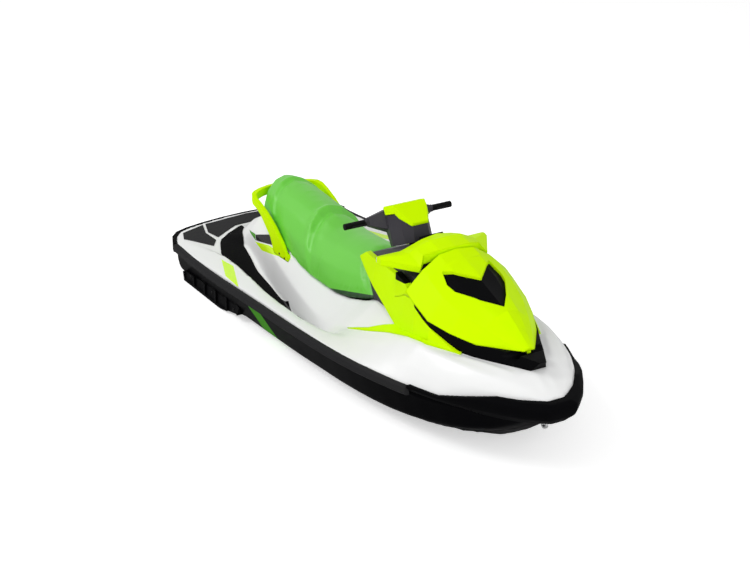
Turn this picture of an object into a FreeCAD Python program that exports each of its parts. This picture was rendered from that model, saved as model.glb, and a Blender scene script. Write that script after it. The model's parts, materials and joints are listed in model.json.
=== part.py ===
"""Three-seat personal watercraft with a jet pump, a hinged storage hood and raked handlebar steering.

Stations run forward from the stern, breadths run to port and heights run up from the keel.
At export everything is moved so that the origin lies amidships on the waterline.
"""
import FreeCAD, Part
import functools
import math
import os

# Overall sizes
LENGTH = 3368.0
BEAM = 1224.0
HEIGHT = 1118.0
WATERLINE = 165.0
HALF_BEAM = BEAM / 2

# Fits and overruns
SEAT_GAP = 0.3
RUN_GAP = 8.0
SHAFT_GAP = 0.05
OVERRUN = 20.0

# Hull, deck edge, rails and bumpers
TRANSOM_STATION = 150.0
STERN_STATION = 24.0
BOW_STATION = 3300.0
STERN_SAG = 95.0
QUARTER_STATION = 235.0
RAIL_THICK = 27.0
RAIL_DEPTH = 50.0
RAIL_CHAMFER = 9.0
SIDE_STEP = 6.0
STRAKE_WIDTH = 26.0
STRAKE_DROP = 12.0
STRAKE_RISE = 9.0
BOW_BUMPER_START = 2690.0
BOW_BUMPER_LOW = 442.0
BOW_BUMPER_TOP = 563.0
BOW_BUMPER_OUT = 31.5
BOW_BUMPER_RUN = 175.0
BOW_BUMPER_STEP = 440.0
BUMPER_CORE = 90.0
STERN_BUMPER_LOW = 334.0
STERN_BUMPER_TOP = 389.0
STERN_BUMPER_END = 300.0

# Mats
MAT_THICK = 4.0

# Seat and grab handle
SEAT_REAR = 530.0
SEAT_REAR_RUN = 130.0
SEAT_FRONT_LOW = 1868.0
SEAT_FRONT_HIGH = 1650.0
HANDLE_WIDTH = 22.0
HANDLE_HALF = 230.0
HANDLE_REAR = 476.0
HANDLE_REAR_RUN = 110.0

# Jet pump
PUMP_HEIGHT = 135.0
PUMP_BORE = 79.0
PUMP_WALL = 9.0
PUMP_FRONT = 600.0
PUMP_AFT = 420.0
PUMP_FRONT_FLANGE = 107.0
PUMP_AFT_FLANGE = 105.0
FLANGE_THICK = 12.0
IMPELLER_AFT = 500.0
IMPELLER_FRONT = 588.0
IMPELLER_TWIST = 75.0
BLADE_COUNT = 4
VANE_COUNT = 7
VANE_TWIST = 24.0
HUB_RADIUS = 34.0
BLADE_THICK = 5.0
TIP_GAP = 1.0
SHAFT_RADIUS = 13.0
STUB_RADIUS = 10.0
STUB_LENGTH = 50.0
TAIL_RADIUS = 12.0
TAIL_LENGTH = 62.0
VENTURI_AFT = 318.0
VENTURI_BORE = 41.0
VENTURI_WALL = 5.0
EAR_REACH = 15.0
EAR_LOW = 73.0
EAR_HIGH = 81.0
EAR_WIDTH = 30.0
NOZZLE_PIVOT = 300.0
NOZZLE_FRONT = 312.0
NOZZLE_AFT = 190.0
NOZZLE_MOUTH_BORE = 62.0
NOZZLE_EXIT_BORE = 43.0
NOZZLE_WALL = 5.0
PIVOT_PIN = 6.0
BUCKET_PIVOT = 268.0
BUCKET_HALF = 118.0
BUCKET_WALL = 6.0
BUCKET_RADIUS = 114.0
BUCKET_FROM = 25.0
BUCKET_TO = 112.0
BUCKET_HUB = 18.0
ARM_THICK = 10.0
ARM_HALF_HEIGHT = 20.0
TUNNEL_HALF = 150.0
TUNNEL_ROOF = 292.0
TUNNEL_CHAMFER = 45.0
INTAKE_HALF = 80.0
INTAKE_AFT = 700.0
INTAKE_FRONT = 1130.0
DUCT_RUN = 40.0
GRATE_BARS = 5
GRATE_BAR = 8.0
GRATE_DEPTH = 14.0
GRATE_HEIGHT = 8.0
GRATE_AFT = 704.0
GRATE_FRONT = 1040.0
PLATE_THICK = 12.0
PLATE_HEIGHT = 4.0
PLATE_FRONT = 599.0
PLATE_AFT = 165.0

# Engine
ENGINE_AFT = 1230.0
ENGINE_LENGTH = 560.0
ENGINE_WIDTH = 340.0
ENGINE_HEIGHT = 345.0
ENGINE_BASE = 108.0
BAY_END = 45.0
BAY_SIDE = 20.0

# Steering
STEER_STATION = 1960.0
STEER_HEIGHT = 898.0
STEER_RAKE = 25.0
STEM_RADIUS = 17.0
STEM_DEPTH = 70.0
BAR_RADIUS = 11.0
BAR_HALF = 320.0
BAR_AFT = 88.0
BAR_RISE = 154.0
GRIP_RADIUS = 17.0
GRIP_INNER = 212.0
GRIP_OUTER = 326.0
CLAMP_RADIUS = 26.0
CLAMP_HALF = 40.0
LEVER_WIDTH = 9.0
LEVER_DEPTH = 9.0
LEVER_DROP = 14.0
LEVER_OUT = 46.0
LEVER_TIP = 300.0
CONSOLE_TOP = 950.0
GAUGE_AFT = 2126.0
GAUGE_FRONT = 2188.0
GAUGE_HALF = 70.0
GAUGE_TOP = 1012.0
GAUGE_LEAN = 20.0

# Storage hood, well and bin
HOOD_WALL = 22.0
HOOD_REAR = 2389.0
HOOD_NOSE = 3064.0
HOOD_GAP = 5.0
HINGE_STATION = 3050.0
HINGE_HEIGHT = 712.0
HINGE_PIN = 5.0
KNUCKLE_RADIUS = 10.0
KNUCKLE_HALF = 12.0
HINGE_EAR = 8.0
NOSE_REACH = 34.0
VENT_DEPTH = 14.0
VENT_THICK = 24.0
RIM_WIDTH = 34.0
RIM_NOSE_FOOT = 3140.0
RIM_NOSE_FOOT_HEIGHT = 652.0
WELL_FLOOR = 400.0
WELL_LIP = 600.0
WELL_AFT = 2350.0
WELL_FRONT = 2900.0
WELL_HALF = 165.0
WELL_NOSE_HALF = 95.0
WELL_LIP_WIDTH = 24.0
BIN_WALL = 5.0

# Panels, sponsons, eyes, plugs and mirrors
PANEL_WALL = 28.0
TONGUE_LIFT = 6.0
SPONSON_OUT = 34.0
SPONSON_RIBS = 5
RIB_DEPTH = 10.0
EYE_STATION = 3211.0
EYE_HEIGHT = 387.0
EYE_BORE = 13.0
EYE_OUTER = 23.0
EYE_THICK = 14.0
STERN_EYE_REACH = 20.0
STERN_EYE_BREADTH = 420.0
STERN_EYE_HEIGHT = 290.0
PLUG_BREADTH = 215.0
PLUG_HEIGHT = 122.0
PLUG_RADIUS = 16.0
PLUG_LENGTH = 14.0
MIRROR_THICK = 4.0

# Shares of the length, the half beam and the height along the rub rail's top inner edge
RAIL_BREADTH_SHARES = (
    (0.0, 0.890), (0.090, 0.905), (0.153, 0.935), (0.272, 0.956), (0.378, 0.955), (0.480, 0.953),
    (0.573, 0.938), (0.657, 0.905), (0.728, 0.842), (0.791, 0.761), (0.845, 0.660), (0.891, 0.531),
    (0.929, 0.392), (0.959, 0.245), (0.980, 0.080))
RAIL_HEIGHT_SHARES = (
    (0.0, 0.343), (0.090, 0.345), (0.153, 0.354), (0.272, 0.373), (0.378, 0.391), (0.480, 0.405),
    (0.573, 0.417), (0.657, 0.426), (0.728, 0.432), (0.791, 0.436), (0.845, 0.443), (0.891, 0.453),
    (0.929, 0.462), (0.980, 0.470))

# Shares along the chine, the keel and the bottom's strakes
CHINE_BREADTH_SHARES = (
    (0.0, 0.805), (0.090, 0.825), (0.435, 0.822), (0.530, 0.807), (0.620, 0.787), (0.700, 0.743),
    (0.774, 0.675), (0.846, 0.555), (0.905, 0.385), (0.950, 0.200), (0.980, 0.040))
CHINE_HEIGHT_SHARES = (
    (0.0, 0.161), (0.090, 0.166), (0.435, 0.196), (0.530, 0.206), (0.620, 0.216), (0.700, 0.226),
    (0.774, 0.245), (0.846, 0.273), (0.905, 0.309), (0.950, 0.376), (0.980, 0.418))
KEEL_HEIGHT_SHARES = (
    (0.0, 0.0), (0.500, 0.0), (0.620, 0.003), (0.700, 0.018), (0.774, 0.060), (0.846, 0.145),
    (0.905, 0.250), (0.928, 0.292), (0.950, 0.362), (0.980, 0.410))
STRAKE_PLACE_SHARES = (0.36, 0.66)

# Shares at the ledge inside the joint, where deck and hull meet under the footwells
LEDGE_HEIGHT_SHARES = (
    (0.0, 0.302), (0.180, 0.302), (0.210, 0.222), (0.600, 0.222), (0.700, 0.262), (0.850, 0.330),
    (0.950, 0.400), (0.980, 0.428))
LEDGE_BREADTH_SHARE = 0.94
# Breadths of a rounded back's plan points
ROUND_SHARES = (0.0, 0.35, 0.62, 0.82, 0.94, 1.0)

# The bow bumper's upright section: shares of its height, and of its outward reach left at that height
BUMPER_LEVEL_SHARES = ((0.0, -0.45), (0.34, 0.74), (0.58, 1.0), (0.85, 1.0), (1.0, 0.30))
STATION_SHARES = (
    0.0, 0.03, 0.06, 0.09, 0.12, 0.15, 0.18, 0.21, 0.25, 0.29, 0.33, 0.37, 0.41, 0.45, 0.49, 0.53, 0.57,
    0.61, 0.65, 0.69, 0.73, 0.77, 0.81, 0.85, 0.88, 0.91, 0.935, 0.955, 0.97, 0.98)

# The deck's section: each row is a station, then breadth and height for the gunwale, the two lower
# corners of the footwell, the pedestal's shoulder and the pedestal's top edge
DECK_SHARES = (
    (0.000, (0.820, 0.349), (0.770, 0.351), (0.490, 0.351), (0.350, 0.351), (0.230, 0.351)),
    (0.074, (0.820, 0.351), (0.770, 0.352), (0.475, 0.352), (0.335, 0.353), (0.213, 0.355)),
    (0.104, (0.785, 0.355), (0.735, 0.350), (0.417, 0.350), (0.327, 0.367), (0.220, 0.420)),
    (0.140, (0.727, 0.360), (0.678, 0.346), (0.363, 0.346), (0.335, 0.420), (0.229, 0.500)),
    (0.178, (0.690, 0.366), (0.640, 0.322), (0.380, 0.322), (0.352, 0.447), (0.245, 0.523)),
    (0.226, (0.700, 0.372), (0.650, 0.272), (0.408, 0.272), (0.373, 0.430), (0.270, 0.501)),
    (0.297, (0.745, 0.382), (0.690, 0.259), (0.474, 0.259), (0.428, 0.385), (0.335, 0.461)),
    (0.386, (0.800, 0.394), (0.745, 0.258), (0.564, 0.258), (0.506, 0.358), (0.363, 0.429)),
    (0.460, (0.812, 0.403), (0.765, 0.268), (0.654, 0.273), (0.564, 0.358), (0.363, 0.434)),
    (0.520, (0.800, 0.412), (0.765, 0.340), (0.703, 0.345), (0.588, 0.385), (0.335, 0.474)),
    (0.573, (0.755, 0.420), (0.727, 0.413), (0.703, 0.415), (0.608, 0.426), (0.325, 0.528)),
    (0.624, (0.745, 0.442), (0.690, 0.452), (0.640, 0.460), (0.575, 0.474), (0.370, 0.535)),
    (0.680, (0.768, 0.465), (0.678, 0.495), (0.608, 0.512), (0.563, 0.523), (0.408, 0.537)),
    (0.728, (0.743, 0.483), (0.654, 0.528), (0.608, 0.550), (0.572, 0.563), (0.392, 0.572)),
    (0.778, (0.694, 0.501), (0.629, 0.546), (0.592, 0.572), (0.564, 0.586), (0.376, 0.588)),
    (0.823, (0.645, 0.503), (0.592, 0.546), (0.556, 0.572), (0.526, 0.586), (0.351, 0.588)),
    (0.861, (0.572, 0.510), (0.526, 0.550), (0.490, 0.571), (0.466, 0.583), (0.294, 0.587)),
    (0.900, (0.474, 0.519), (0.433, 0.550), (0.405, 0.565), (0.384, 0.577), (0.196, 0.590)),
    (0.929, (0.363, 0.523), (0.335, 0.546), (0.310, 0.559), (0.291, 0.568), (0.114, 0.590)),
    (0.959, (0.229, 0.519), (0.209, 0.530), (0.193, 0.537), (0.176, 0.542), (0.065, 0.553)),
    (0.980, (0.072, 0.500), (0.064, 0.503), (0.056, 0.505), (0.046, 0.507), (0.020, 0.511)))
# How far each of those points moves inwards and upwards when the section is thickened
DECK_LIFT_SHARES = ((0.0, 1.0), (-1.0, 1.0), (1.0, 1.0), (1.0, 0.7), (0.7, 1.0))

# The seat's section: station, breadth and height of the skirt, the flank and the shoulder, and the crown
SEAT_SHARES = (
    (0.140, (0.270, 0.534), (0.262, 0.600), (0.196, 0.668), 0.715),
    (0.184, (0.292, 0.525), (0.292, 0.590), (0.222, 0.668), 0.741),
    (0.226, (0.318, 0.505), (0.306, 0.580), (0.229, 0.657), 0.735),
    (0.276, (0.344, 0.478), (0.315, 0.565), (0.238, 0.648), 0.718),
    (0.312, (0.365, 0.458), (0.320, 0.552), (0.250, 0.635), 0.703),
    (0.330, (0.374, 0.452), (0.321, 0.548), (0.240, 0.628), 0.695),
    (0.356, (0.383, 0.444), (0.322, 0.545), (0.222, 0.613), 0.657),
    (0.371, (0.385, 0.438), (0.325, 0.548), (0.222, 0.616), 0.660),
    (0.416, (0.386, 0.434), (0.322, 0.546), (0.215, 0.624), 0.668),
    (0.460, (0.380, 0.440), (0.312, 0.555), (0.205, 0.640), 0.684),
    (0.500, (0.350, 0.462), (0.278, 0.572), (0.185, 0.656), 0.692),
    (0.560, (0.300, 0.530), (0.235, 0.600), (0.160, 0.676), 0.700))

# The grab handle's side view as stations and heights, its feet running down into the deck
HANDLE_SIDE_SHARES = (
    (0.135, 0.624), (0.165, 0.620), (0.185, 0.607), (0.201, 0.588), (0.218, 0.545), (0.236, 0.498),
    (0.252, 0.400), (0.298, 0.400), (0.298, 0.450), (0.272, 0.512), (0.247, 0.568), (0.220, 0.612),
    (0.193, 0.642), (0.166, 0.661), (0.135, 0.665))

# The hood's section: station, breadth and height of the crease, the shoulder and the edge, and the ridge
HOOD_SHARES = (
    (0.680, (0.160, 0.932), (0.320, 0.862), (0.492, 0.796), 0.946),
    (0.728, (0.168, 0.884), (0.338, 0.830), (0.495, 0.736), 0.894),
    (0.761, (0.180, 0.846), (0.344, 0.792), (0.490, 0.690), 0.864),
    (0.802, (0.155, 0.797), (0.312, 0.747), (0.422, 0.664), 0.822),
    (0.846, (0.114, 0.757), (0.221, 0.711), (0.309, 0.638), 0.776),
    (0.885, (0.069, 0.694), (0.123, 0.671), (0.155, 0.642), 0.707),
    (0.911, (0.020, 0.655), (0.034, 0.653), (0.046, 0.648), 0.657))
VENT_PLAN_SHARES = (
    (0.779, 0.0), (0.736, 0.229), (0.759, 0.261), (0.776, 0.245), (0.812, 0.127), (0.842, 0.0))

# The rim under the hood: station, then breadth and height at its foot and its lip
RIM_SHARES = (
    (0.655, (0.425, 0.500), (0.405, 0.782)),
    (0.694, (0.452, 0.500), (0.440, 0.770)),
    (0.728, (0.472, 0.520), (0.470, 0.726)),
    (0.761, (0.472, 0.540), (0.466, 0.684)),
    (0.802, (0.425, 0.540), (0.412, 0.658)),
    (0.846, (0.360, 0.540), (0.318, 0.640)),
    (0.890, (0.255, 0.540), (0.180, 0.645)),
    (0.926, (0.120, 0.540), (0.085, 0.640)),
    (0.945, (0.035, 0.540), (0.030, 0.634)))

# The flank that carries the knee panels: station, then breadth and height at its foot and its top
FLANK_SHARES = (
    (0.500, (0.330, 0.440), (0.235, 0.730)),
    (0.564, (0.392, 0.460), (0.310, 0.765)),
    (0.624, (0.428, 0.480), (0.352, 0.790)),
    (0.683, (0.466, 0.500), (0.420, 0.790)),
    (0.742, (0.498, 0.520), (0.470, 0.740)),
    (0.802, (0.450, 0.540), (0.432, 0.668)),
    (0.842, (0.390, 0.540), (0.380, 0.640)))
# How far the hood's nose stays solid, as a share of its wall
NOSE_SHARE = 3.0
PANEL_SIDE_SHARES = (
    (0.497, 0.672), (0.526, 0.727), (0.683, 0.771), (0.751, 0.668), (0.833, 0.584), (0.833, 0.520),
    (0.660, 0.500), (0.668, 0.532), (0.578, 0.605))
TONGUE_PLAN_SHARES = (
    (0.572, 0.613), (0.620, 0.560), (0.668, 0.430), (0.700, 0.440), (0.831, 0.360), (0.836, 0.392),
    (0.778, 0.532), (0.680, 0.548), (0.620, 0.590))

# The console ahead of the seat: station, then breadth and height at its foot, its side and its top
CONSOLE_SHARES = (
    (0.494, (0.232, 0.450), (0.200, 0.665), (0.140, 0.676)),
    (0.520, (0.262, 0.470), (0.225, 0.680), (0.155, 0.706)),
    (0.564, (0.305, 0.500), (0.262, 0.720), (0.165, 0.755)),
    (0.609, (0.335, 0.510), (0.300, 0.765), (0.165, 0.815)),
    (0.652, (0.365, 0.510), (0.325, 0.785), (0.175, 0.850)),
    (0.694, (0.385, 0.510), (0.345, 0.785), (0.180, 0.850)))

# The cowl and its mirror wings: breadth, then the corners of a side view section
COWL_SHARES = (
    (0.000, ((0.653, 0.926), (0.680, 0.940), (0.7075, 0.922), (0.7075, 0.890), (0.653, 0.876))),
    (0.147, ((0.652, 0.912), (0.678, 0.936), (0.7065, 0.918), (0.7065, 0.876), (0.652, 0.858))),
    (0.270, ((0.644, 0.874), (0.668, 0.899), (0.6950, 0.897), (0.6950, 0.850), (0.644, 0.822))),
    (0.327, ((0.643, 0.864), (0.671, 0.882), (0.7050, 0.852), (0.7020, 0.822), (0.643, 0.812))),
    (0.526, ((0.635, 0.853), (0.641, 0.856), (0.6480, 0.850), (0.6480, 0.822), (0.635, 0.818))))

# Plans of the mats as stations and breadths
WELL_MAT_SHARES = (
    (0.066, 0.200), (0.081, 0.379), (0.099, 0.511), (0.112, 0.560), (0.146, 0.645), (0.178, 0.685),
    (0.226, 0.696), (0.297, 0.742), (0.386, 0.794), (0.460, 0.804), (0.488, 0.785), (0.460, 0.690),
    (0.386, 0.590), (0.325, 0.512), (0.256, 0.452), (0.200, 0.438), (0.143, 0.392), (0.113, 0.327),
    (0.090, 0.240))
CENTRE_MAT_SHARES = (
    (0.014, 0.0), (0.022, 0.470), (0.058, 0.540), (0.086, 0.510), (0.071, 0.375), (0.055, 0.240),
    (0.052, 0.0))
SIDE_MAT_SHARES = (
    (0.024, 0.505), (0.060, 0.570), (0.096, 0.560), (0.116, 0.640), (0.064, 0.815), (0.040, 0.760))

# The sponson's side view as stations and heights
SPONSON_SHARES = (
    (0.080, 0.196), (0.084, 0.142), (0.211, 0.142), (0.286, 0.184), (0.294, 0.236), (0.280, 0.246))

# The steering cover and pad in the steering's own frame: forward of the axis, and up it
COVER_SIDE_SHARES = (
    (-1.00, 1.00), (0.57, 0.97), (1.48, 0.49), (1.41, 0.0), (-0.70, 0.0), (-1.12, 0.53))
COVER_PLAN_SHARES = ((-1.18, 0.50), (-0.18, 0.64), (0.92, 0.50), (1.53, 0.24))
PAD_SIDE_SHARES = (
    (-0.94, 1.02), (-0.80, 1.22), (-0.20, 1.28), (0.72, 1.26), (1.62, 0.57), (1.51, 0.50), (0.60, 0.99))
PAD_PLAN_SHARES = ((-0.94, 0.50), (-0.18, 0.67), (0.94, 0.53), (1.65, 0.25))
COVER_REACH = 85.0
COVER_RISE = 168.0
ARM_ROOT = 60.0
ARM_TIP = 206.0
ARM_ROOT_SIZE = 52.0
ARM_TIP_SIZE = 38.0


def along(share):
    """Station of a share of the length."""
    return share * LENGTH


def curve(shares, station_share):
    """Value of a smooth curve without overshoot through rows of station and value."""
    xs = [row[0] for row in shares]
    ys = [row[1] for row in shares]
    if station_share <= xs[0]:
        return ys[0]
    if station_share >= xs[-1]:
        return ys[-1]
    rises = [(ys[i + 1] - ys[i]) / (xs[i + 1] - xs[i]) for i in range(len(xs) - 1)]
    slopes = [rises[0]]
    for before, after in zip(rises, rises[1:]):
        slopes.append(0.0 if before * after <= 0 else 2 * before * after / (before + after))
    slopes.append(rises[-1])
    i = max(k for k in range(len(xs) - 1) if xs[k] <= station_share)
    step = xs[i + 1] - xs[i]
    t = (station_share - xs[i]) / step
    return (ys[i] * (1 + 2 * t) * (1 - t) ** 2 + ys[i + 1] * t * t * (3 - 2 * t)
            + step * (slopes[i] * t * (1 - t) ** 2 - slopes[i + 1] * t * t * (1 - t)))


def pair_at(table, column, station_share):
    """Breadth and height of one line of a section table, at any station."""
    breadth = curve([(row[0], row[column][0]) for row in table], station_share)
    height = curve([(row[0], row[column][1]) for row in table], station_share)
    return breadth * HALF_BEAM, height * HEIGHT


def single_at(table, column, station_share):
    """Height of one centre line of a section table, at any station."""
    return curve([(row[0], row[column]) for row in table], station_share) * HEIGHT


def section(station, half_outline):
    """Closed wire across the craft from its port half, given from the bottom to the top."""
    port = [FreeCAD.Vector(station, y, z) for y, z in half_outline]
    starboard = [FreeCAD.Vector(station, -y, z) for y, z in reversed(half_outline) if y > 0]
    return Part.makePolygon(port + starboard + port[:1])


def stations(first, last):
    """Station shares between two stations, ends included."""
    inside = [s for s in STATION_SHARES if first < along(s) < last]
    return [first / LENGTH] + inside + [last / LENGTH]


def whole_stations(first, last):
    """Table stations that reach from before one station to past another."""
    before = max(s for s in STATION_SHARES if along(s) <= first)
    past = min([s for s in STATION_SHARES if along(s) >= last] + [BOW_STATION / LENGTH])
    return stations(along(before), along(past))


def loft(wires):
    """Solid through closed wires, straight between neighbours."""
    return Part.makeLoft(wires, True, True)


def box(low, high):
    """Box between two corners."""
    size = [b - a for a, b in zip(low, high)]
    return Part.makeBox(size[0], size[1], size[2], FreeCAD.Vector(*low))


def prism(points, direction):
    """Prism on a closed outline."""
    corners = [FreeCAD.Vector(*p) for p in points]
    return Part.Face(Part.makePolygon(corners + corners[:1])).extrude(FreeCAD.Vector(*direction))


def side_prism(outline, half_width):
    """Prism across the craft on a side view outline of stations and heights."""
    return prism([(x, -half_width, z) for x, z in outline], (0, 2 * half_width, 0))


def plan_prism(outline, low, high):
    """Upright prism on a plan outline of stations and breadths."""
    return prism([(x, y, low) for x, y in outline], (0, 0, high - low))


def cross_prism(outline, first, last):
    """Prism along the craft on a section outline of breadths and heights."""
    return prism([(first, y, z) for y, z in outline], (last - first, 0, 0))


def plan_points(shares):
    """Stations and breadths of a plan given as shares."""
    return [(along(x), y * HALF_BEAM) for x, y in shares]


def both_sides(outline):
    """Plan outline closed over the centre plane, from its port half in order of station."""
    return outline + [(x, -y) for x, y in reversed(outline) if y > 0]


def rod(radius, start, end):
    """Solid round bar between two points."""
    a = FreeCAD.Vector(*start)
    way = FreeCAD.Vector(*end) - a
    return Part.makeCylinder(radius, way.Length, a, way)


def ring(outer, inner, start, end):
    """Round tube between two points."""
    return rod(outer, start, end).cut(rod(inner, start, end))


def mirrored(shape):
    """The same shape on the other side of the centre plane."""
    return shape.mirror(FreeCAD.Vector(0, 0, 0), FreeCAD.Vector(0, 1, 0))


def pair(shape):
    """A shape and its mirror image, as two solids that don't touch."""
    return Part.Compound([shape, mirrored(shape)])


def fused(shapes):
    """One solid from shapes that meet."""
    whole = shapes[0].fuse(shapes[1:]) if len(shapes) > 1 else shapes[0]
    return whole.removeSplitter()


def largest(shape):
    """The biggest solid of a cut shape."""
    return max(shape.Solids, key=lambda solid: solid.Volume)


# Hull and deck

def rail_breadth(share):
    """Half breadth at the rub rail's inner face."""
    return curve(RAIL_BREADTH_SHARES, share) * HALF_BEAM


def rail_top(share):
    """Height of the rub rail's top edge."""
    return curve(RAIL_HEIGHT_SHARES, share) * HEIGHT


def chine_breadth(share):
    """Half breadth at the chine."""
    return curve(CHINE_BREADTH_SHARES, share) * HALF_BEAM


def ledge(share, gap):
    """Points from the joint flange's inner edge to the centre, where deck and hull meet."""
    inner = LEDGE_BREADTH_SHARE * chine_breadth(share)
    low = curve(LEDGE_HEIGHT_SHARES, share) * HEIGHT + gap
    return [(inner - gap, rail_top(share) - RAIL_DEPTH / 2 + gap), (inner - gap, low), (0, low)]


def hull_section(share, lift=0.0):
    """Vee bottom with two strakes, a hard chine and a flared side up to the joint, grown by a lift."""
    chine_y = chine_breadth(share) + lift
    chine_z = curve(CHINE_HEIGHT_SHARES, share) * HEIGHT - lift
    keel_z = curve(KEEL_HEIGHT_SHARES, share) * HEIGHT - lift
    fade = chine_y / chine_breadth(QUARTER_STATION / LENGTH)
    points = [(0, keel_z)]
    for place in STRAKE_PLACE_SHARES:
        strake_z = keel_z + (chine_z - keel_z) * place
        outer = place * chine_y + STRAKE_WIDTH * fade
        points.append((place * chine_y, strake_z))
        points.append((outer, strake_z - STRAKE_DROP * fade))
        points.append((outer, strake_z + STRAKE_RISE * fade))
    side = rail_breadth(share) + lift
    top = rail_top(share)
    points.append((chine_y, chine_z))
    points.append((side - SIDE_STEP, top - RAIL_DEPTH - SIDE_STEP))
    points.append((side, top - RAIL_DEPTH))
    points.append((side, top - RAIL_DEPTH / 2))
    return section(along(share), points + ledge(share, 0))


def deck_section(share, lift=0.0):
    """Joint flange, gunwale, footwell, pedestal or foredeck, and centre, thickened by a lift."""
    points = ledge(share, SEAT_GAP)[::-1]
    points.append((rail_breadth(share), rail_top(share) - RAIL_DEPTH / 2 + SEAT_GAP))
    points.append((rail_breadth(share), rail_top(share)))
    for column, (outward, upward) in enumerate(DECK_LIFT_SHARES, 1):
        y, z = pair_at(DECK_SHARES, column, share)
        points.append((y + outward * lift, z + upward * lift))
    points.append((0, points[-1][1]))
    return section(along(share), points)


@functools.lru_cache(maxsize=None)
def hull_form(lift=0.0, first=TRANSOM_STATION, last=BOW_STATION):
    """The hull's outer form over two stations, thickened by a lift."""
    return loft([hull_section(s, lift) for s in whole_stations(first, last)])


@functools.lru_cache(maxsize=None)
def deck_form(lift=0.0, first=0.0, last=BOW_STATION):
    """The deck's outer form over two stations, thickened by a lift."""
    return loft([deck_section(s, lift) for s in whole_stations(first, last)])


def stern_plan(grow):
    """Plan outline with a bowed stern and rounded quarters, running past the bow."""
    half = rail_breadth(QUARTER_STATION / LENGTH) + grow
    aft = STERN_STATION - grow
    shares = (0.0, 0.25, 0.5, 0.7, 0.84, 0.93, 0.98, 1.0)
    sweep = QUARTER_STATION - aft - STERN_SAG
    port = [(aft + STERN_SAG * s ** 2 + sweep * s ** 14, half * s) for s in shares]
    port += [(QUARTER_STATION + OVERRUN, half + OVERRUN), (LENGTH + OVERRUN, half + OVERRUN)]
    return both_sides(port)


def tunnel():
    """Space for the jet pump, open aft and below."""
    corner = TUNNEL_HALF - TUNNEL_CHAMFER
    shoulder = TUNNEL_ROOF - TUNNEL_CHAMFER
    outline = [(-TUNNEL_HALF, -OVERRUN), (-TUNNEL_HALF, shoulder), (-corner, TUNNEL_ROOF),
               (corner, TUNNEL_ROOF), (TUNNEL_HALF, shoulder), (TUNNEL_HALF, -OVERRUN)]
    return cross_prism(outline, TRANSOM_STATION - OVERRUN, PUMP_FRONT)


def duct():
    """Intake duct from the bottom up to the pump."""
    low = PUMP_HEIGHT - PUMP_BORE
    high = PUMP_HEIGHT + PUMP_BORE
    knee = PUMP_FRONT + DUCT_RUN
    outline = [(PUMP_FRONT, high), (knee, high), (INTAKE_FRONT, -OVERRUN), (INTAKE_AFT, -OVERRUN),
               (knee, low), (PUMP_FRONT, low)]
    return side_prism(outline, INTAKE_HALF)


def engine_bay():
    """Bay round the engine, open upwards under the seat."""
    half = ENGINE_WIDTH / 2 + BAY_SIDE
    return box((ENGINE_AFT - BAY_END, -half, ENGINE_BASE),
               (ENGINE_AFT + ENGINE_LENGTH + BAY_END, half, HEIGHT))


def well_plan(grow):
    """Plan of the front storage well."""
    half = WELL_HALF + grow
    nose = WELL_NOSE_HALF + grow
    taper = WELL_FRONT - (WELL_FRONT - WELL_AFT) / 2
    return both_sides([(WELL_AFT - grow, half), (taper, half), (WELL_FRONT + grow, nose)])


def make_hull():
    """Black lower hull with the pump tunnel, intake duct, shaft bore and engine bay."""
    ahead = box((TRANSOM_STATION, -BEAM, -OVERRUN), (LENGTH, BEAM, HEIGHT))
    body = hull_form().common(ahead).common(plan_prism(stern_plan(0), -OVERRUN, HEIGHT))
    shaft = rod(SHAFT_RADIUS + SHAFT_GAP, (PUMP_FRONT, 0, PUMP_HEIGHT), (ENGINE_AFT, 0, PUMP_HEIGHT))
    return largest(body.cut([tunnel(), duct(), shaft, engine_bay()]))


def make_deck():
    """White deck moulding from the stern platform to the bow, with the bay and the well cut."""
    body = deck_form().common(plan_prism(stern_plan(0), 0, HEIGHT))
    lip = plan_prism(well_plan(WELL_LIP_WIDTH), WELL_LIP, HEIGHT)
    well = plan_prism(well_plan(0), WELL_FLOOR, HEIGHT)
    return largest(body.cut([engine_bay(), lip, well]))


def make_rail():
    """Rub rail along the starboard side, from the quarter to the bow bumper."""
    wires = []
    for share in stations(QUARTER_STATION, BOW_BUMPER_START):
        inner = rail_breadth(share) + SEAT_GAP
        outer = rail_breadth(share) + RAIL_THICK
        top = rail_top(share)
        low = top - RAIL_DEPTH
        points = [(inner, low), (outer - RAIL_CHAMFER, low), (outer, low + RAIL_CHAMFER),
                  (outer, top - RAIL_CHAMFER), (outer - RAIL_CHAMFER, top), (inner, top)]
        corners = [FreeCAD.Vector(along(share), -y, z) for y, z in points]
        wires.append(Part.makePolygon(corners + corners[:1]))
    return loft(wires)


def bow_plan(grow, reach):
    """Plan outline of the bow from the bumper's start, grown outwards, with a reach past the stem."""
    port = []
    for share in stations(BOW_BUMPER_START, BOW_STATION):
        ahead = (along(share) - BOW_BUMPER_START) / (BOW_STATION - BOW_BUMPER_START)
        port.append((along(share) + reach * ahead ** 4, rail_breadth(share) + grow))
    port = [(x, y) for x, y in port if y > 0]
    return both_sides(port)


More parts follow.
